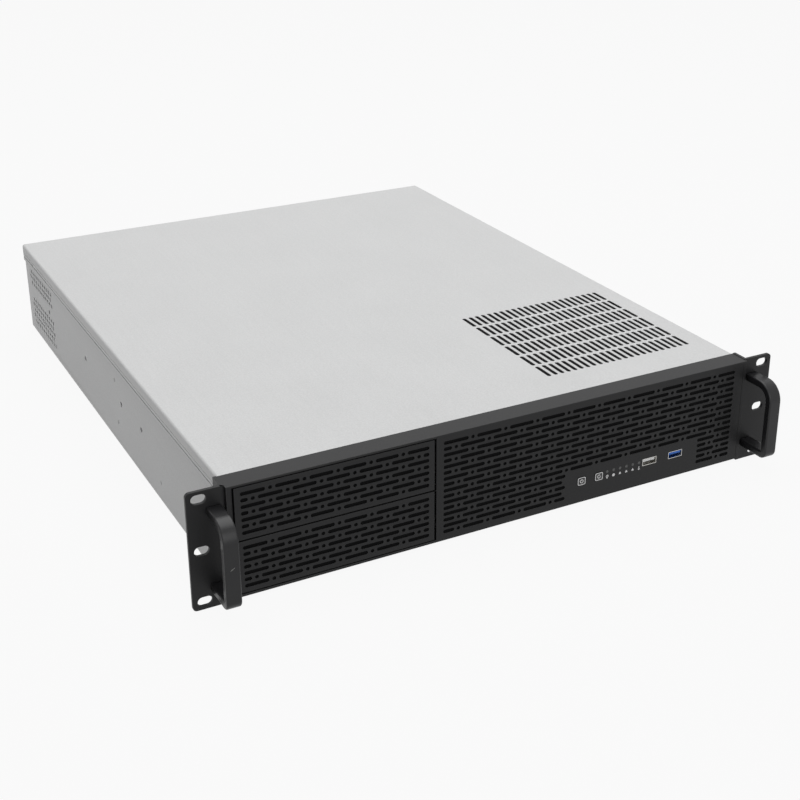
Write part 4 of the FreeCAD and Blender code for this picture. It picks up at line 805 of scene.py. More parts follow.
@dataclass
class FrontSection:
    """The black front: a folded pan with the right grille, the bay window and the controls' openings."""

    coat: Material
    sheet: float = 1.0 * MM
    edge: float = 0.5 * MM
    bay_gap: float = 1.4 * MM
    bay_room: Flat = (0.6 * MM, 0.9 * MM)
    cap_rim: float = 1.1 * MM
    lamp_room: float = 0.1 * MM
    window_room: float = 0.2 * MM
    window_corner: float = 0.8 * MM
    seam: Flat = (0.25 * MM, 0.2 * MM)
    seam_inset: float = 3.3 * MM
    seam_margin: float = 2.0 * MM
    plain_field: Flat = (48.5 * MM, 171.5 * MM)
    top_row: float = 36.7 * MM
    rows: int = 16
    end_slot: float = 8.4 * MM
    least_slot: float = 4.0 * MM
    field_row: int = 11
    shifted_from: int = 7
    shift: float = 2.4 * MM
    grille: Grille = Grille(-54.8 * MM, 203.6 * MM, pitch=26.88 * MM, slot=19.9 * MM, row_pitch=4.7 * MM)

    @property
    def reach(self) -> float:
        """Returns how far a cutter goes in behind the face."""
        return 3 * self.sheet

    def row_spans(self, row: int) -> list[Flat]:
        """Returns the slot ends of one row of the right grille."""
        spans = self.grille.spans(row)
        if row % 2:
            tail = self.grille.right - self.end_slot
            limit = tail - self.grille.web
            spans = [(start, min(end, limit)) for start, end in spans if start < limit - self.least_slot]
            spans.append((tail, self.grille.right))
            if row >= self.shifted_from:
                spans = self.shifted(spans)
        if row >= self.field_row:
            spans = self.outside(spans)
        return spans

    def shifted(self, spans: list[Flat]) -> list[Flat]:
        """Returns an offset row with its first web further right and its last but one further left."""
        moved = [list(span) for span in spans]
        for slot, end, way in ((0, 1, 1), (1, 0, 1), (-3, 1, -1), (-2, 0, -1)):
            moved[slot][end] += way * self.shift
        return [tuple(span) for span in moved]

    def outside(self, spans: list[Flat]) -> list[Flat]:
        """Returns the spans without the stretch of the plain field."""
        low, high = self.plain_field
        parts = [part for start, end in spans for part in ((start, min(end, low)), (max(start, high), end))]
        return [part for part in parts if part[1] - part[0] > self.least_slot]

    def build(self) -> Piece:
        """Returns the finished front section."""
        low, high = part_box("front_bezel")
        pan = Bench.pan("front_section", low, high, self.sheet, self.edge)
        rows = [(self.top_row - row * self.grille.row_pitch, self.row_spans(row)) for row in range(self.rows)]
        cutters = self.grille.punches(rows, low.y, self.reach)
        cutters.append(self.bay_window(low.y))
        cutters.extend(self.control_windows(low.y))
        Bench.cut(pan, cutters)
        Bench.cut(pan, self.seams(low, high))
        Bench.shade_evenly(pan)
        return Bench.hand_over(pan, "case", "black_paint", self.coat, "front_bezel")

    def bay_window(self, face: float) -> Piece:
        """Returns the cutter of the window round the two bay covers."""
        low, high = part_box("bay_cover_lower")
        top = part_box("bay_cover_upper")[1].z
        below, above = self.bay_room
        return Bench.block("window", (low.x - self.bay_gap, face - self.sheet, low.z - below),
                           (high.x + self.bay_gap, face + self.reach, top + above))

    def control_windows(self, face: float) -> list[Piece]:
        """Returns the cutters round the buttons, the ports and the lamps."""
        made = []
        for name, rim in (("power_button", self.cap_rim), ("reset_button", self.cap_rim),
                          ("first_port_shell", 0.0), ("second_port_shell", 0.0)):
            low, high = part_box(name)
            made.append(self.window((low.x + rim, low.z + rim), (high.x - rim, high.z - rim), face))
        across = 2 * LAMP_RADIUS + self.lamp_room
        punch = Punch(across, across, Facing.FRONT, self.reach, sides=20)
        made.extend(Bench.copies(punch.made(), [(x, face, z) for x, z in lamp_places()]))
        return made

    def window(self, low: Flat, high: Flat, face: float) -> Piece:
        """Returns a cutter with round corners and a little room round a control.

        Args:
            low: The control's lowest X and Z.
            high: Its highest X and Z.
            face: The front face, along Y.
        """
        room = self.window_room
        window = Bench.block("window", (low[0] - room, face - self.sheet, low[1] - room),
                             (high[0] + room, face + self.reach, high[1] + room))
        Bench.round_edges(window, lambda first, second: abs(first.y - second.y) > self.sheet,
                          self.window_corner, 3)
        return window

    def seams(self, low: Vector, high: Vector) -> list[Piece]:
        """Returns the cutters of the fine seam beside each end of the front."""
        wide, deep = self.seam
        return [Bench.block("seam", (across - wide / 2, low.y - deep, low.z + self.seam_margin),
                            (across + wide / 2, low.y + deep, high.z - self.seam_margin))
                for across in (low.x + self.seam_inset, high.x - self.seam_inset)]


@dataclass
class BayCovers:
    """The two covers of the front drive bays, each a shallow pan with its own grille and tongues."""

    coat: Material
    sheet: float = 1.0 * MM
    edge: float = 0.35 * MM
    rows: int = 7
    margin: float = 4.3 * MM
    pitch: float = 24.5 * MM
    slot: float = 17.4 * MM
    row_pitch: float = 4.84 * MM
    tongue_margin: float = 10.0 * MM

    def build(self, name: str) -> Piece:
        """Returns one finished cover.

        Args:
            name: The frame's piece that it stands for.
        """
        low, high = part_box(name)
        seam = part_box("front_bezel")[1].y
        pan = Bench.pan(f"{name}_pan", low, Vector((high.x, seam, high.z)), self.sheet, self.edge)
        grille = Grille(low.x + self.margin, high.x - self.margin, self.pitch, self.slot, self.row_pitch)
        middle = (low.z + high.z) / 2
        heights = [middle + ((self.rows - 1) / 2 - row) * self.row_pitch for row in range(self.rows)]
        rows = [(height, grille.spans(row)) for row, height in enumerate(heights)]
        Bench.cut(pan, grille.punches(rows, low.y, 3 * self.sheet))
        Bench.cut(pan, self.tongues(low, high, seam), "UNION")
        Bench.shade_evenly(pan)
        return Bench.hand_over(pan, "case", "black_paint", self.coat, name)

    def tongues(self, low: Vector, high: Vector, seam: float) -> list[Piece]:
        """Returns the spring tongue of each side, behind the pan."""
        foot, top = low.z + self.tongue_margin, high.z - self.tongue_margin
        return [Bench.block("tongue", (start, seam - self.sheet, foot), (end, high.y, top))
                for start, end in ((low.x, low.x + self.sheet), (high.x - self.sheet, high.x))]


@dataclass
class Lid:
    """The lid: one folded sheet with side lips, a rear fold and the vent over the power supply."""

    zinc: Material
    sheet: float = 1.0 * MM
    bend: float = 2.0 * MM
    rear_fold: float = 9.6 * MM
    grooves: tuple[Point, ...] = ((7.7 * MM, 0.35 * MM, 0.2 * MM), (10.8 * MM, 0.8 * MM, 0.7 * MM))
    vent_at: Flat = (130.0 * MM, 110.0 * MM)
    vent_pitch: Flat = (5.95 * MM, 22.6 * MM)
    vent_count: tuple[int, int] = (23, 6)
    vent_slot: Flat = (19.9 * MM, 3.4 * MM)
    vent_lead: float = 0.1 * MM
    vent_skin: float = 0.4 * MM
    recess_margin: float = 4.0 * MM
    hole_reach: float = 4.0 * MM
    lip_hole: Flat = (511.0 * MM, 11.1 * MM)
    lip_hole_radius: float = 1.6 * MM
    screws_across: float = 175.0 * MM
    screw_drop: float = 5.5 * MM
    screw_radius: float = 2.0 * MM

    def build(self) -> Piece:
        """Returns the finished lid."""
        low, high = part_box("top_cover")
        lid = Bench.block("lid_sheet", low, high)
        Bench.round_edges(lid, lambda first, second: min(first.z, second.z) > high.z - MM
                          and abs(first.y - second.y) > self.bend, self.bend, 4)
        self.hollow(lid, low, high)
        self.groove(lid, low, high)
        Bench.cut(lid, self.holes(low, high))
        Bench.cut(lid, [self.vent_recess(high)])
        Bench.cut(lid, self.vent(high))
        Bench.shade_evenly(lid)
        return Bench.hand_over(lid, "cover", "zinc_sheet", self.zinc, "top_cover")

    def hollow(self, lid: Piece, low: Vector, high: Vector) -> None:
        """Takes out the inside, so that the sheet, its lips and its rear fold stay."""
        rooms = (
            ("inside", low.y - MM, high.y - self.sheet, high.z - self.sheet),
            ("under_fold", high.y - 2 * self.sheet, high.y + MM, high.z - self.rear_fold),
        )
        for name, near, far, top in rooms:
            Bench.cut(lid, [Bench.block(name, (low.x + self.sheet, near, low.z - MM),
                                        (high.x - self.sheet, far, top))])

    def groove(self, lid: Piece, low: Vector, high: Vector) -> None:
        """Cuts the grooves of both lips, each given by its drop, height and depth."""
        for drop, tall, deep in self.grooves:
            top = high.z - drop
            Bench.cut(lid, [Bench.block("groove", (side - deep, low.y - MM, top - tall),
                                        (side + deep, high.y + MM, top)) for side in (low.x, high.x)])

    def holes(self, low: Vector, high: Vector) -> list[Piece]:
        """Returns the cutters of the lip holes and the screw holes."""
        along, drop = self.lip_hole
        made = [Bench.drum("hole", (side, along, high.z - drop), self.lip_hole_radius, self.hole_reach,
                           Facing.LEFT, 20) for side in (low.x, high.x)]
        for across in (-self.screws_across, 0.0, self.screws_across):
            centre = (across, high.y, high.z - self.screw_drop)
            made.append(Bench.drum("hole", centre, self.screw_radius, self.hole_reach, Facing.REAR, 24))
        return made

    def vent_field(self, margin: float) -> tuple[Flat, Flat]:
        """Returns the lowest and highest X and Y of the vent with a margin round it."""
        reach = [count * pitch / 2 + margin for count, pitch in zip(self.vent_count, self.vent_pitch)]
        low, high = zip(*((middle - half, middle + half) for middle, half in zip(self.vent_at, reach)))
        return low, high

    def vent_recess(self, high: Vector) -> Piece:
        """Returns the cutter that thins the sheet under the vent."""
        near, far = self.vent_field(self.recess_margin)
        return Bench.block("recess", (*near, high.z - 2 * self.sheet), (*far, high.z - self.vent_skin))

    def vent(self, high: Vector) -> list[Piece]:
        """Returns the punches of the vent."""
        punch = Punch(*self.vent_slot, Facing.TOP, 3 * self.sheet, lead=self.vent_lead)
        columns, rows = self.vent_count
        places = []
        for column in range(columns):
            for row in range(rows):
                across = self.vent_at[0] + (column - (columns - 1) / 2) * self.vent_pitch[0]
                along = self.vent_at[1] + (row - (rows - 1) / 2) * self.vent_pitch[1]
                places.append((across, along, high.z))
        return Bench.copies(punch.made(), places)


@dataclass
class ShadeSheets:
    """Near-black sheets behind the grilles and the lid's vent: painted shade, so that every slot shows the
    same dark field in place of the lit inside of the case.
    """

    cloth: Material
    thick: float = 0.6 * MM
    room: float = 0.05 * MM
    margin: float = 3.0 * MM
    corner: float = 2.0 * MM
    notch_inset: float = 1.5 * MM

    def sheet(self, name: str, low: Iterable[float], high: Iterable[float], thin: int,
              body: str, notch: Piece | None = None) -> Piece:
        """Returns one finished sheet.

        Args:
            name: The sheet's name.
            low: Its lowest corner.
            high: Its highest corner.
            thin: The direction of its thickness, 1 for Y and 2 for Z.
            body: The body that it rides on.
            notch: A cutter for what passes beside the sheet.
        """
        sheet = Bench.block(name, low, high)
        Bench.round_edges(sheet, lambda first, second: abs(first[thin] - second[thin]) > self.thick / 2,
                          self.corner, 3)
        if notch is not None:
            Bench.cut(sheet, [notch])
        Bench.soften(sheet, self.thick / 4, 2)
        return Bench.hand_over(sheet, body, "", self.cloth)

    def build(self, front: FrontSection, lid: Lid) -> None:
        """Builds the painted-shade sheets behind the front, the two bay covers and the lid's vent.

        Args:
            front: The front section, for the places of its slots.
            lid: The lid, for the place of its vent.
        """
        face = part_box("front_bezel")[0].y + front.sheet + self.room
        grille = front.grille
        low_row = front.top_row - (front.rows - 1) * grille.row_pitch
        low = (grille.left - self.margin, face, low_row - self.margin)
        high = (grille.right + self.margin, face + self.thick, front.top_row + self.margin)
        notch_top = front.top_row - (front.field_row - 0.5) * grille.row_pitch
        start, end = front.plain_field
        notch = Bench.block("notch", (start + self.notch_inset, face - MM, low[2] - MM),
                            (end - self.notch_inset, face + MM, notch_top))
        # Painted shade behind the front grille, notched round the controls' plain field.
        self.sheet("panel_filter", low, high, 1, "case", notch)
        wall = front.sheet + 4 * self.room
        # Painted shade behind the grille of each bay cover.
        for name in ("bay_cover_lower", "bay_cover_upper"):
            low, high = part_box(name)
            self.sheet(f"{name}_filter", (low.x + wall, face, low.z + wall),
                       (high.x - wall, face + self.thick, high.z - wall), 1, "case")
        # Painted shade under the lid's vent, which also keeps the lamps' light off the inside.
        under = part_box("top_cover")[1].z - lid.vent_skin - self.room
        near, far = lid.vent_field(self.margin)
        self.sheet("lid_filter", (*near, under - self.thick), (*far, under), 2, "cover")


@dataclass
class Tray:
    """The folded tray with round vents and screw holes and the small joints of its left wall."""

    zinc: Material
    reach: float = 6.0 * MM
    vent_middle: float = 488.0 * MM
    vent_pitch: float = 7.2 * MM
    vent_rise: float = 5.7 * MM
    vent_radius: float = 2.1 * MM
    vent_stagger: float = 0.25
    vent_columns: int = 11
    vent_rows: tuple[tuple[float, int], ...] = ((-28.3 * MM, 5), (11.5 * MM, 3))
    sheet: float = 1.2 * MM
    patch_margin: Point = (4.0 * MM, 6.0 * MM, 8.0 * MM)
    rail_along: tuple[float, ...] = (184.0 * MM, 236.0 * MM, 339.5 * MM, 462.0 * MM)
    rail_up: float = 1.8 * MM
    rail_radius: float = 2.32 * MM
    mark_radius: float = 1.7 * MM
    mark_deep: float = 0.4 * MM
    marks: tuple[Flat, ...] = (
        (250.0 * MM, 17.6 * MM), (521.3 * MM, 22.9 * MM), (249.3 * MM, -19.7 * MM), (142.1 * MM, -23.8 * MM))

    def build(self) -> Piece:
        """Returns the finished tray: its straight-sided vents closed, then all holes cut round."""
        tray = Bench.frame_copy("chassis_tray", "tray_shell")
        low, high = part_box("chassis_tray")
        beside, below, above = self.patch_margin
        half = self.vent_pitch * self.vent_columns / 2 + beside
        patch = Bench.block("patch", (low.x, self.vent_middle - half, low.z + below),
                            (low.x + self.sheet, self.vent_middle + half, high.z - above))
        Bench.cut(tray, [patch], "UNION")
        rails = [(wall, along, self.rail_up) for wall in (low.x, high.x) for along in self.rail_along]
        marks = [(low.x, along, up) for along, up in self.marks]
        self.drill(tray, "vent", self.vent_radius, self.reach, 12, self.vent_places(low.x))
        self.drill(tray, "rail_hole", self.rail_radius, self.reach, 20, rails)
        self.drill(tray, "pressing", self.mark_radius, 2 * self.mark_deep, 20, marks)
        Bench.shade_evenly(tray)
        return Bench.hand_over(tray, "case", "zinc_sheet", self.zinc, "chassis_tray")

    @staticmethod
    def drill(tray: Piece, name: str, radius: float, length: float, sides: int, places: list[Point]) -> None:
        """Cuts round holes into a side wall.

        Args:
            tray: The piece that is drilled.
            name: The cutter's name.
            radius: The holes' radius.
            length: The cutter's whole length, half of it on each side of a place.
            sides: How many flats stand for the round.
            places: The middle of each hole on the wall's outer face.
        """
        pattern = Bench.drum(name, (0, 0, 0), radius, length, Facing.LEFT, sides)
        Bench.cut(tray, Bench.copies(pattern, places))

    def vent_places(self, wall: float) -> list[Point]:
        """Returns the middle of each hole of the left wall's staggered vents."""
        places = []
        for first, rows in self.vent_rows:
            for row in range(rows):
                up = first + row * self.vent_rise
                stagger = self.vent_stagger if row % 2 else -self.vent_stagger
                for column in range(self.vent_columns):
                    step = column - (self.vent_columns - 1) / 2 + stagger
                    places.append((wall, self.vent_middle + step * self.vent_pitch, up))
        return places


@dataclass
class FanWall:
    """The cross wall behind the cages, with round openings for the fans."""

    zinc: Material
    count: int = 4
    spacing: float = 96.0 * MM
    radius: float = 38.75 * MM
    up: float = 0.8 * MM
    reach: float = 4.0 * MM

    def build(self) -> Piece:
        """Returns the finished wall."""
        wall = Bench.frame_copy("fan_wall", "fan_wall_sheet")
        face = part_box("fan_wall")[0].y
        pattern = Bench.drum("bore", (0, 0, 0), self.radius, self.reach, Facing.REAR, 64)
        middle = (self.count - 1) / 2
        places = [((index - middle) * self.spacing, face, self.up) for index in range(self.count)]
        Bench.cut(wall, Bench.copies(pattern, places))
        Bench.shade_evenly(wall)
        return Bench.hand_over(wall, "case", "zinc_sheet", self.zinc, "fan_wall")


@dataclass
class Handle:
    """A bow handle: a flat bar bent widely at the top and tightly at the foot."""

    coat: Material
    thick: float = 6.0 * MM
    stub: float = 3.0 * MM
    top_bend: float = 15.0 * MM
    foot_bend: float = 6.5 * MM
    edge: float = 1.2 * MM

    def build(self, side: str) -> Piece:
        """Returns the finished handle.

        Args:
            side: left or right, as in the frame's names.
        """
        low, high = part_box(f"handle_{side}")
        start = high.y - self.stub
        bar = Bench.block(f"bow_handle_{side}", (low.x, start, high.z - self.thick), high)
        Bench.pick(bar, lambda centre, normal: normal.y < -0.9)
        self.draw(low.y + self.top_bend - start, 0)
        self.bend(low.y + self.top_bend, high.z - self.top_bend)
        self.draw(0, low.z + self.foot_bend - (high.z - self.top_bend))
        self.bend(low.y + self.foot_bend, low.z + self.foot_bend)
        self.draw(high.y - (low.y + self.foot_bend), 0)
        Bench.leave()
        Bench.soften(bar, self.edge, 4)
        return Bench.hand_over(bar, "case", "handle_paint", self.coat, f"handle_{side}")

    @staticmethod
    def draw(along: float, up: float) -> None:
        """Draws the bar's open end out by that much."""
        bpy.ops.mesh.extrude_region_move(TRANSFORM_OT_translate={"value": (0, along, up)})

    @staticmethod
    def bend(along: float, up: float) -> None:
        """Turns the bar's open end by a quarter about a line across the case."""
        bpy.ops.mesh.spin(steps=10, angle=math.pi / 2, center=(0, along, up), axis=(-1, 0, 0))


@dataclass
class RackEar:
    """A rack ear: a plate with three round-ended slots and a flange behind it, its edges broken."""

    coat: Material
    sheet: float = 2.5 * MM
    corner: float = 3.0 * MM
    slot: Flat = (10.4 * MM, 6.8 * MM)
    slot_lead: float = 0.25 * MM
    slot_across: float = 232.55 * MM
    slot_rise: float = 38.1 * MM
    edge: float = 0.3 * MM

    def build(self, side: str) -> Piece:
        """Returns the finished ear.

        Args:
            side: left or right, as in the frame's names.
        """
        low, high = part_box(f"rack_ear_{side}")
        sign = 1 if side == "right" else -1
        inner, outer = (low.x, high.x) if sign > 0 else (high.x, low.x)
        ear = Bench.block(f"ear_{side}", low, (high.x, 0.0, high.z))
        Bench.round_edges(ear, lambda first, second: abs(first.x - outer) < MM and abs(second.x - outer) < MM
                          and abs(first.y - second.y) > MM, self.corner, 6)
        near, far = sorted((inner, inner + sign * self.sheet))
        Bench.cut(ear, [Bench.block("flange", (near, low.y, low.z), (far, high.y, high.z))], "UNION")
        punch = Punch(*self.slot, Facing.FRONT, 2 * self.sheet, sides=24, lead=self.slot_lead)
        places = [(sign * self.slot_across, low.y, rise) for rise in (-self.slot_rise, 0.0, self.slot_rise)]
        Bench.cut(ear, Bench.copies(punch.made(), places))
        Bench.soften(ear, self.edge, 2)
        return Bench.hand_over(ear, "case", "black_paint", self.coat, f"rack_ear_{side}")


@dataclass(frozen=True)
class PanScrew:
    """A round-headed screw with a cross recess; the recess is in shares of the head."""

    radius: float
    height: float
    shank: float = 1.9 * MM
    sides: int = 24
    arm: Flat = (0.55, 0.13)
    floor: float = 0.45
    lap: float = 0.1 * MM

    def head(self) -> Piece:
        """Returns the head with its top edge rounded."""
        head = Bench.drum("screw", (0, 0, self.height / 2), self.radius, self.height, Facing.TOP, self.sides)
        Bench.round_edges(head, lambda first, second: min(first.z, second.z) > self.height - HAIR,
                          self.height * self.floor, 3)
        return head

    def made(self, length: float) -> Piece:
        """Returns the screw with a shank of that length, its seat at the origin and its head upwards."""
        head = self.head()
        long, wide = (self.radius * share for share in self.arm)
        for x, y in ((long, wide), (wide, long)):
            recess = Bench.block("recess", (-x, -y, self.height * self.floor), (x, y, 2 * self.height))
            Bench.cut(head, [recess])
        rod = Bench.drum("shank", (0, 0, self.lap - length / 2), self.shank, length, Facing.TOP, 16)
        Bench.cut(head, [rod], "UNION")
        Bench.shade_evenly(head)
        return head


@dataclass(frozen=True)
class ThumbScrew(PanScrew):
    """A fluted thumb screw with a cross recess."""

    sides: int = 48
    arm: Flat = (0.5, 0.12)
    floor: float = 0.7
    rim: float = 0.35 * MM
    flutes: int = 16
    flute_at: float = 0.62
    flute_length: float = 0.6

    def head(self) -> Piece:
        """Returns the fluted head with both its edges rounded."""
        head = Bench.drum("screw", (0, 0, self.height / 2), self.radius, self.height, Facing.TOP, self.sides)
        Bench.round_edges(head, lambda first, second: abs(first.z - second.z) < HAIR, self.rim, 2)
        up, length = self.height * self.flute_at, self.height * self.flute_length
        flutes = []
        for index in range(self.flutes):
            angle = math.tau * index / self.flutes
            centre = (self.radius * math.cos(angle), self.radius * math.sin(angle), up)
            flutes.append(Bench.drum("flute", centre, self.rim, length, Facing.TOP, 8))
        Bench.cut(head, flutes)
        return head


@dataclass
class RoundParts:
    """Round screws and light guides in the places of the frame's straight-sided ones."""

    steel: Material
    clear: Material
    slot_screw: PanScrew = PanScrew(3.0 * MM, 1.8 * MM, 1.95 * MM)
    lid_screw: PanScrew = ThumbScrew(4.0 * MM, 5.0 * MM)
    handle_screw: PanScrew = PanScrew(3.4 * MM, 2.0 * MM)
    handle_bar: float = 6.0 * MM

    def placed(self, name: str, pattern: Piece, places: list[Point], body: str, node: str) -> Piece:
        """Sets a pattern at each place and hands the whole over as one piece.

        Args:
            name: The piece's name.
            pattern: One screw, turned as it stands.
            places: The seat of each screw.
            body: The body that it rides on.
            node: The frame's piece that it stands for.
        """
        Bench.settle(pattern)
        piece = Bench.join(name, Bench.copies(pattern, places))
        return Bench.hand_over(piece, body, "screw_steel", self.steel, node)

    def facing_rear(self, screw: PanScrew, low: Vector, high: Vector) -> tuple[Piece, float]:
        """Returns a screw that fills the depth between two corners, its head to the rear, and its seat."""
        seat = high.y - screw.height
        pattern = screw.made(seat - low.y)
        pattern.rotation_euler = Facing.REAR.value
        return pattern, seat

    def build(self) -> None:
        """Builds the screws of the slot covers, the lid and the handles, and the light guides."""
        low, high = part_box("slot_screws")
        screw = self.slot_screw
        count = sum(name.startswith("slot_cover_") for name in frame["nodes"])
        seat = high.z - screw.height
        step = (high.x - low.x - 2 * screw.radius) / (count - 1)
        along = (low.y + high.y) / 2
        places = [(low.x + screw.radius + index * step, along, seat) for index in range(count)]
        self.placed("slot_cover_screws", screw.made(seat - low.z), places, "case", "slot_screws")

        low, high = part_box("cover_screws")
        pattern, seat = self.facing_rear(self.lid_screw, low, high)
        radius, middle = self.lid_screw.radius, (low.z + high.z) / 2
        places = [(x, seat, middle) for x in (low.x + radius, (low.x + high.x) / 2, high.x - radius)]
        self.placed("lid_thumb_screws", pattern, places, "cover", "cover_screws")

        low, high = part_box("handle_screws")
        pattern, seat = self.facing_rear(self.handle_screw, low, high)
        radius, half = self.handle_screw.radius, self.handle_bar / 2
        foot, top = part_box("handle_left")
        ends = (foot.z + half, top.z - half)
        places = [(x, seat, z) for x in (low.x + radius, high.x - radius) for z in ends]
        self.placed("handle_fixing_screws", pattern, places, "case", "handle_screws")

        low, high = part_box("status_lamps")
        rod = Bench.drum("guide", (0, 0, 0), LAMP_RADIUS, high.y - low.y, Facing.FRONT, 20)
        places = [(x, (low.y + high.y) / 2, z) for x, z in lamp_places()]
        guides = Bench.join("lamp_guides", Bench.copies(rod, places))
        Bench.shade_evenly(guides)
        Bench.hand_over(guides, "case", "clear_lamp", self.clear, "status_lamps")


class Button(Enum):
    """The buttons, each with the X and Z from its middle at which the ring of its symbol is open."""

    POWER = (0.0, 1.5 * MM)
    RESET = (1.4 * MM, 0.5 * MM)


@dataclass
class Marks:
    """The printed marks of the controls: outlines and symbols, a hair proud of their face.

    What stands in a symbol has its size first and its height above the symbol's middle last.
    """

    ink: Material
    proud: float = 0.03 * MM
    line: float = 0.55 * MM
    outline_size: Flat = (6.8 * MM, 6.3 * MM)
    outline_corners: Flat = (1.0 * MM, 0.8 * MM)
    ring_radius: float = 1.6 * MM
    ring_gap: Flat = (0.9 * MM, 1.2 * MM)
    power_bar: Flat = (1.3 * MM, 1.0 * MM)
    arrow_radius: float = 0.5 * MM
    arrow_at: Flat = (1.2 * MM, -0.1 * MM)
    symbols_drop: float = 4.3 * MM
    bulb: Flat = (1.15 * MM, 0.3 * MM)
    bulb_foot: Point = (1.0 * MM, 0.5 * MM, -1.35 * MM)
    dot_radius: float = 1.25 * MM
    triangle_radius: float = 1.45 * MM
    stem: Point = (0.55 * MM, 2.1 * MM, 0.5 * MM)
    stem_ball: Flat = (0.75 * MM, -0.9 * MM)

    def slab(self, centre: Flat, size: Flat, face: float, corner: float = 0.0, coats: int = 1) -> Piece:
        """Returns a flat printed field.

        Args:
            centre: Its middle in X and Z.
            size: Its width and height.
            face: The face that it is printed on, along Y.
            corner: The radius of its corners, or 0 for sharp ones.
            coats: How many times as proud as one coat of ink it is.
        """
        (x, z), (wide, high), proud = centre, size, coats * self.proud
        slab = Bench.block("slab", (x - wide / 2, face - proud, z - high / 2),
                           (x + wide / 2, face + proud, z + high / 2))
        if corner:
            Bench.round_edges(slab, lambda first, second: abs(first.y - second.y) > proud, corner, 4)
        return slab

    def disc(self, centre: Flat, radius: float, face: float, sides: int = 24, coats: int = 1) -> Piece:
        """Returns a flat printed disc, or a triangle where it has three sides."""
        x, z = centre
        return Bench.drum("disc", (x, face, z), radius, 2 * coats * self.proud, Facing.FRONT, sides)

    def ring(self, centre: Flat, radius: float, face: float) -> Piece:
        """Returns a printed ring."""
        ring = self.disc(centre, radius, face)
        Bench.cut(ring, [self.disc(centre, radius - self.line, face, coats=2)])
        return ring

    def outline(self, centre: Flat, face: float) -> Piece:
        """Returns the printed outline of a button cap."""
        outer_corner, inner_corner = self.outline_corners
        outline = self.slab(centre, self.outline_size, face, outer_corner)
        inner_size = tuple(side - 2 * self.line for side in self.outline_size)
        Bench.cut(outline, [self.slab(centre, inner_size, face, inner_corner, coats=2)])
        return outline

    def on_button(self, button: Button) -> Piece:
        """Returns the outline and symbol of a button, riding on the button."""
        name = f"{button.name.lower()}_button"
        low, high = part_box(name)
        x, z = (low.x + high.x) / 2, (low.z + high.z) / 2
        face = low.y
        outline = self.outline((x, z), face)
        ring = self.ring((x, z), self.ring_radius, face)
        gap_x, gap_z = x + button.value[0], z + button.value[1]
        wide, tall = self.ring_gap
        gap = Bench.block("gap", (gap_x - wide / 2, face - MM, gap_z - tall / 2),
                          (gap_x + wide / 2, face + MM, gap_z + tall / 2))
        Bench.cut(ring, [gap])
        if button is Button.POWER:
            tall, up = self.power_bar
            sign = self.slab((x, z + up), (self.line, tall), face)
        else:
            sign = self.disc((x + self.arrow_at[0], z + self.arrow_at[1]), self.arrow_radius, face, 3)
        mark = Bench.join(f"{name}_mark", [outline, ring, sign])
        return Bench.hand_over(mark, name, "", self.ink)

    def on_front(self) -> Piece:
        """Returns the small symbols under the lamps."""
        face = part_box("front_bezel")[0].y
        spots = [x for x, _ in lamp_places()]
        row = lamp_places()[0][1] - self.symbols_drop
        (radius, up), (ball, ball_up) = self.bulb, self.stem_ball
        pieces = [
            self.ring((spots[0], row + up), radius, face),
            self.slab((spots[0], row + self.bulb_foot[2]), self.bulb_foot[:2], face),
            self.disc((spots[1], row), self.dot_radius, face),
        ]
        pieces.extend(self.disc((spot, row), self.triangle_radius, face, 3) for spot in spots[2:5])
        pieces.append(self.slab((spots[5], row + self.stem[2]), self.stem[:2], face))
        pieces.append(self.disc((spots[5], row + ball_up), ball, face))
        return Bench.hand_over(Bench.join("lamp_symbols", pieces), "case", "", self.ink)


@dataclass
class FramePieces:
    """The pieces of the frame that keep their shape and get a finish."""

    finishes: dict[str, Material]

    def dress(self) -> None:
        """Gives every shown piece of the frame the finish of its slot."""
        slots = {row["node"]: row["material_slot"] for row in frame["record"]["subparts"]}
        for name, piece in frame["nodes"].items():
            if piece.hide_render:
                continue
            material = self.finishes[slots[name]]
            for place in piece.material_slots:
                place.material = material
            log.info("%s dressed as %s", name, material.name)


@dataclass(frozen=True)
class SoftBox:
    """A square soft light that looks at a point, its side in metres and its power in watts."""

    name: str
    place: Point
    target: Point
    side: float
    watts: float

    def hang(self) -> None:
        """Adds the light."""
        data = bpy.data.lights.new(self.name, "AREA")
        data.size = self.side
        data.energy = self.watts
        lamp = bpy.data.objects.new(self.name, data)
        bpy.context.scene.collection.objects.link(lamp)
        lamp.location = self.place
        lamp.rotation_euler = (Vector(self.target) - Vector(self.place)).to_track_quat("-Z", "Y").to_euler()


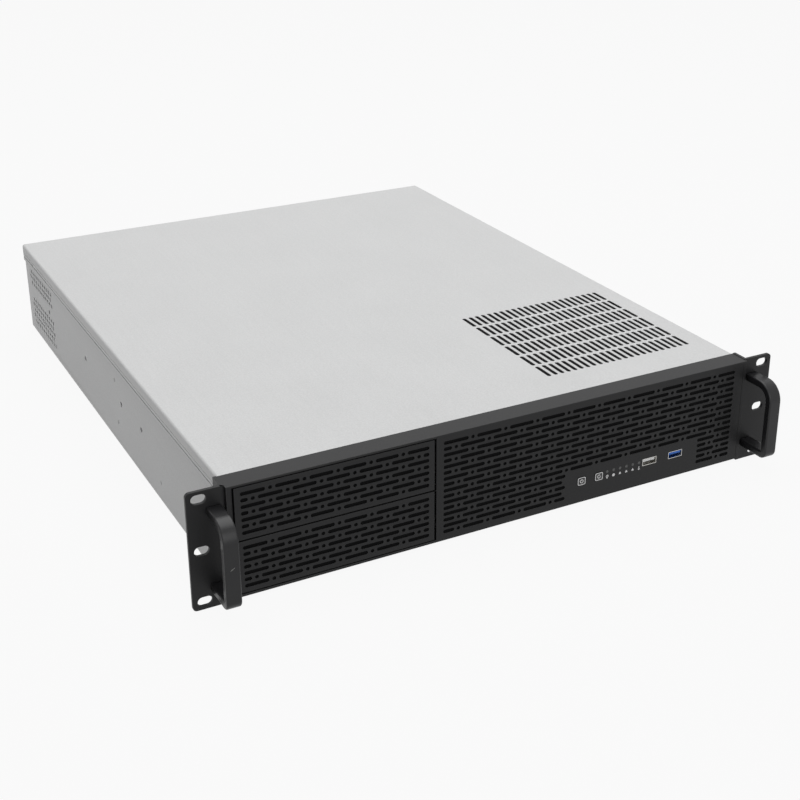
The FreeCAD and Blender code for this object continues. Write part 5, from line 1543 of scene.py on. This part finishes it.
@dataclass
class Studio:
    """Pale floor, soft light and the camera of the photograph."""

    floor_size: float = 40.0
    floor_white: float = 0.93
    floor_tone: float = 0.33
    floor_cloud: float = 0.01
    room_light: float = 0.26
    boxes: tuple[SoftBox, ...] = (
        SoftBox("top_softbox", (0.15, 0.5, 1.9), (0.0, 0.25, 0.0), 2.0, 32.0),
        SoftBox("front_softbox", (-0.2, -2.2, 0.9), (0.0, 0.0, 0.0), 1.6, 15.5),
    )
    camera_at: Point = (-0.47193, -0.75271, 0.47208)
    azimuth: float = 28.42
    elevation: float = 22.502
    roll: float = 0.085
    sensor: float = 36.0
    lens: float = 62.09
    shift: Flat = (-0.035, -0.08)

    def build(self) -> None:
        """Sets up the floor, the world, the lamps and the camera."""
        self.floor()
        self.world()
        for box in self.boxes:
            box.hang()
        self.camera()
        bpy.context.scene.view_settings.view_transform = "Standard"

    def floor(self) -> None:
        """Adds the floor under the lowest point of the case."""
        Bench.clear()
        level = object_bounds()[0].z
        bpy.ops.mesh.primitive_plane_add(size=self.floor_size, location=(0, 0, level))
        plane = Bench.settle(Bench.named("studio_floor"))
        desk = Desk("studio_floor")
        cloud = 1.0 + desk.noise(desk.place(), 3.0, 2.0) * self.floor_cloud
        tone = desk.shaded(cloud, grey(self.floor_tone))
        diffuse = desk.node("ShaderNodeBsdfDiffuse", None, {"Color": tone})
        white = desk.node("ShaderNodeEmission", None, {"Color": grey(1.0), "Strength": 1.0})
        share = self.seen_rays(desk) * self.floor_white
        mix = {0: share, 1: diffuse.outputs[0], 2: white.outputs[0]}
        plane.data.materials.append(desk.end(desk.node("ShaderNodeMixShader", None, mix)))
        plane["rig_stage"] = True

    @staticmethod
    def seen_rays(desk: Desk) -> Term:
        """Returns 1 for rays that show the background: camera, glossy and transmission rays."""
        path = desk.node("ShaderNodeLightPath")
        rays = [Term(desk, path.outputs[f"Is {kind} Ray"]) for kind in ("Camera", "Glossy", "Transmission")]
        return (rays[0] + rays[1] + rays[2]).clamped()

    def world(self) -> None:
        """Makes the world white where it is seen, and a soft room light elsewhere."""
        world = bpy.data.worlds.new("studio")
        bpy.context.scene.world = world
        desk = Desk("studio", world)
        seen = self.seen_rays(desk)
        strength = seen + (1.0 - seen) * self.room_light
        desk.end(desk.node("ShaderNodeBackground", None, {"Color": grey(1.0), "Strength": strength}))

    def camera(self) -> None:
        """Adds the camera at the photograph's place and angle."""
        data = bpy.data.cameras.new("photo_camera")
        data.sensor_width = self.sensor
        data.lens = self.lens
        data.shift_x, data.shift_y = self.shift
        camera = bpy.data.objects.new("photo_camera", data)
        bpy.context.scene.collection.objects.link(camera)
        around, above, roll = (math.radians(value) for value in (self.azimuth, self.elevation, self.roll))
        level = math.cos(above)
        back = Vector((-math.sin(around) * level, -math.cos(around) * level, math.sin(above)))
        right = (-back).cross(Vector((0, 0, 1))).normalized()
        up = right.cross(-back)
        turned_right = right * math.cos(roll) + up * math.sin(roll)
        turned_up = up * math.cos(roll) - right * math.sin(roll)
        turn = Matrix((turned_right, turned_up, back)).transposed().to_4x4()
        camera.matrix_world = Matrix.Translation(self.camera_at) @ turn
        bpy.context.scene.camera = camera


def finish_by_slot() -> dict[str, Material]:
    """Returns the finish of each of the record's slots."""
    return {
        "zinc_sheet": ZincSheet().material(),
        "black_paint": PowderCoat().material(),
        "handle_paint": HandleCoat().material(),
        "brass_post": PlatedMetal("brass_posts", (0.72, 0.50, 0.22, 1.0), 0.3).material(),
        "black_plastic": MouldedPlastic("black_plastic", grey(0.02)).material(),
        "button_plastic": MouldedPlastic("button_plastic", grey(0.025), 0.5).material(),
        "circuit_board": BoardMask().material(),
        "clear_lamp": LampPlastic().material(),
        "port_steel": PlatedMetal("port_steel", (0.66, 0.65, 0.62, 1.0), 0.25).material(),
        "white_plastic": MouldedPlastic("white_plastic", grey(0.9)).material(),
        "blue_plastic": MouldedPlastic("blue_plastic", (0.03, 0.16, 0.62, 1.0)).material(),
        "screw_steel": PlatedMetal("screw_steel", grey(0.58), 0.3).material(),
    }


def main() -> None:
    """Builds and dresses the case, then sets up the studio."""
    logging.basicConfig(level=logging.INFO, format="%(name)s %(message)s")
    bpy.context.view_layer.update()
    finishes = finish_by_slot()
    zinc, coat, handle_coat = (finishes[slot] for slot in ("zinc_sheet", "black_paint", "handle_paint"))
    front = FrontSection(coat)
    front.build()
    for name in ("bay_cover_lower", "bay_cover_upper"):
        BayCovers(coat).build(name)
    lid = Lid(zinc)
    lid.build()
    Tray(zinc).build()
    FanWall(zinc).build()
    # Near-black sheets: painted shade behind the grilles and the vent.
    ShadeSheets(PaintedShadeCloth().material()).build(front, lid)
    for side in ("left", "right"):
        Handle(handle_coat).build(side)
        RackEar(coat).build(side)
    RoundParts(finishes["screw_steel"], finishes["clear_lamp"]).build()
    marks = Marks(PrintedInk().material())
    for button in Button:
        marks.on_button(button)
    marks.on_front()
    FramePieces(finishes).dress()
    Studio().build()


if __name__ == "__main__":
    main()
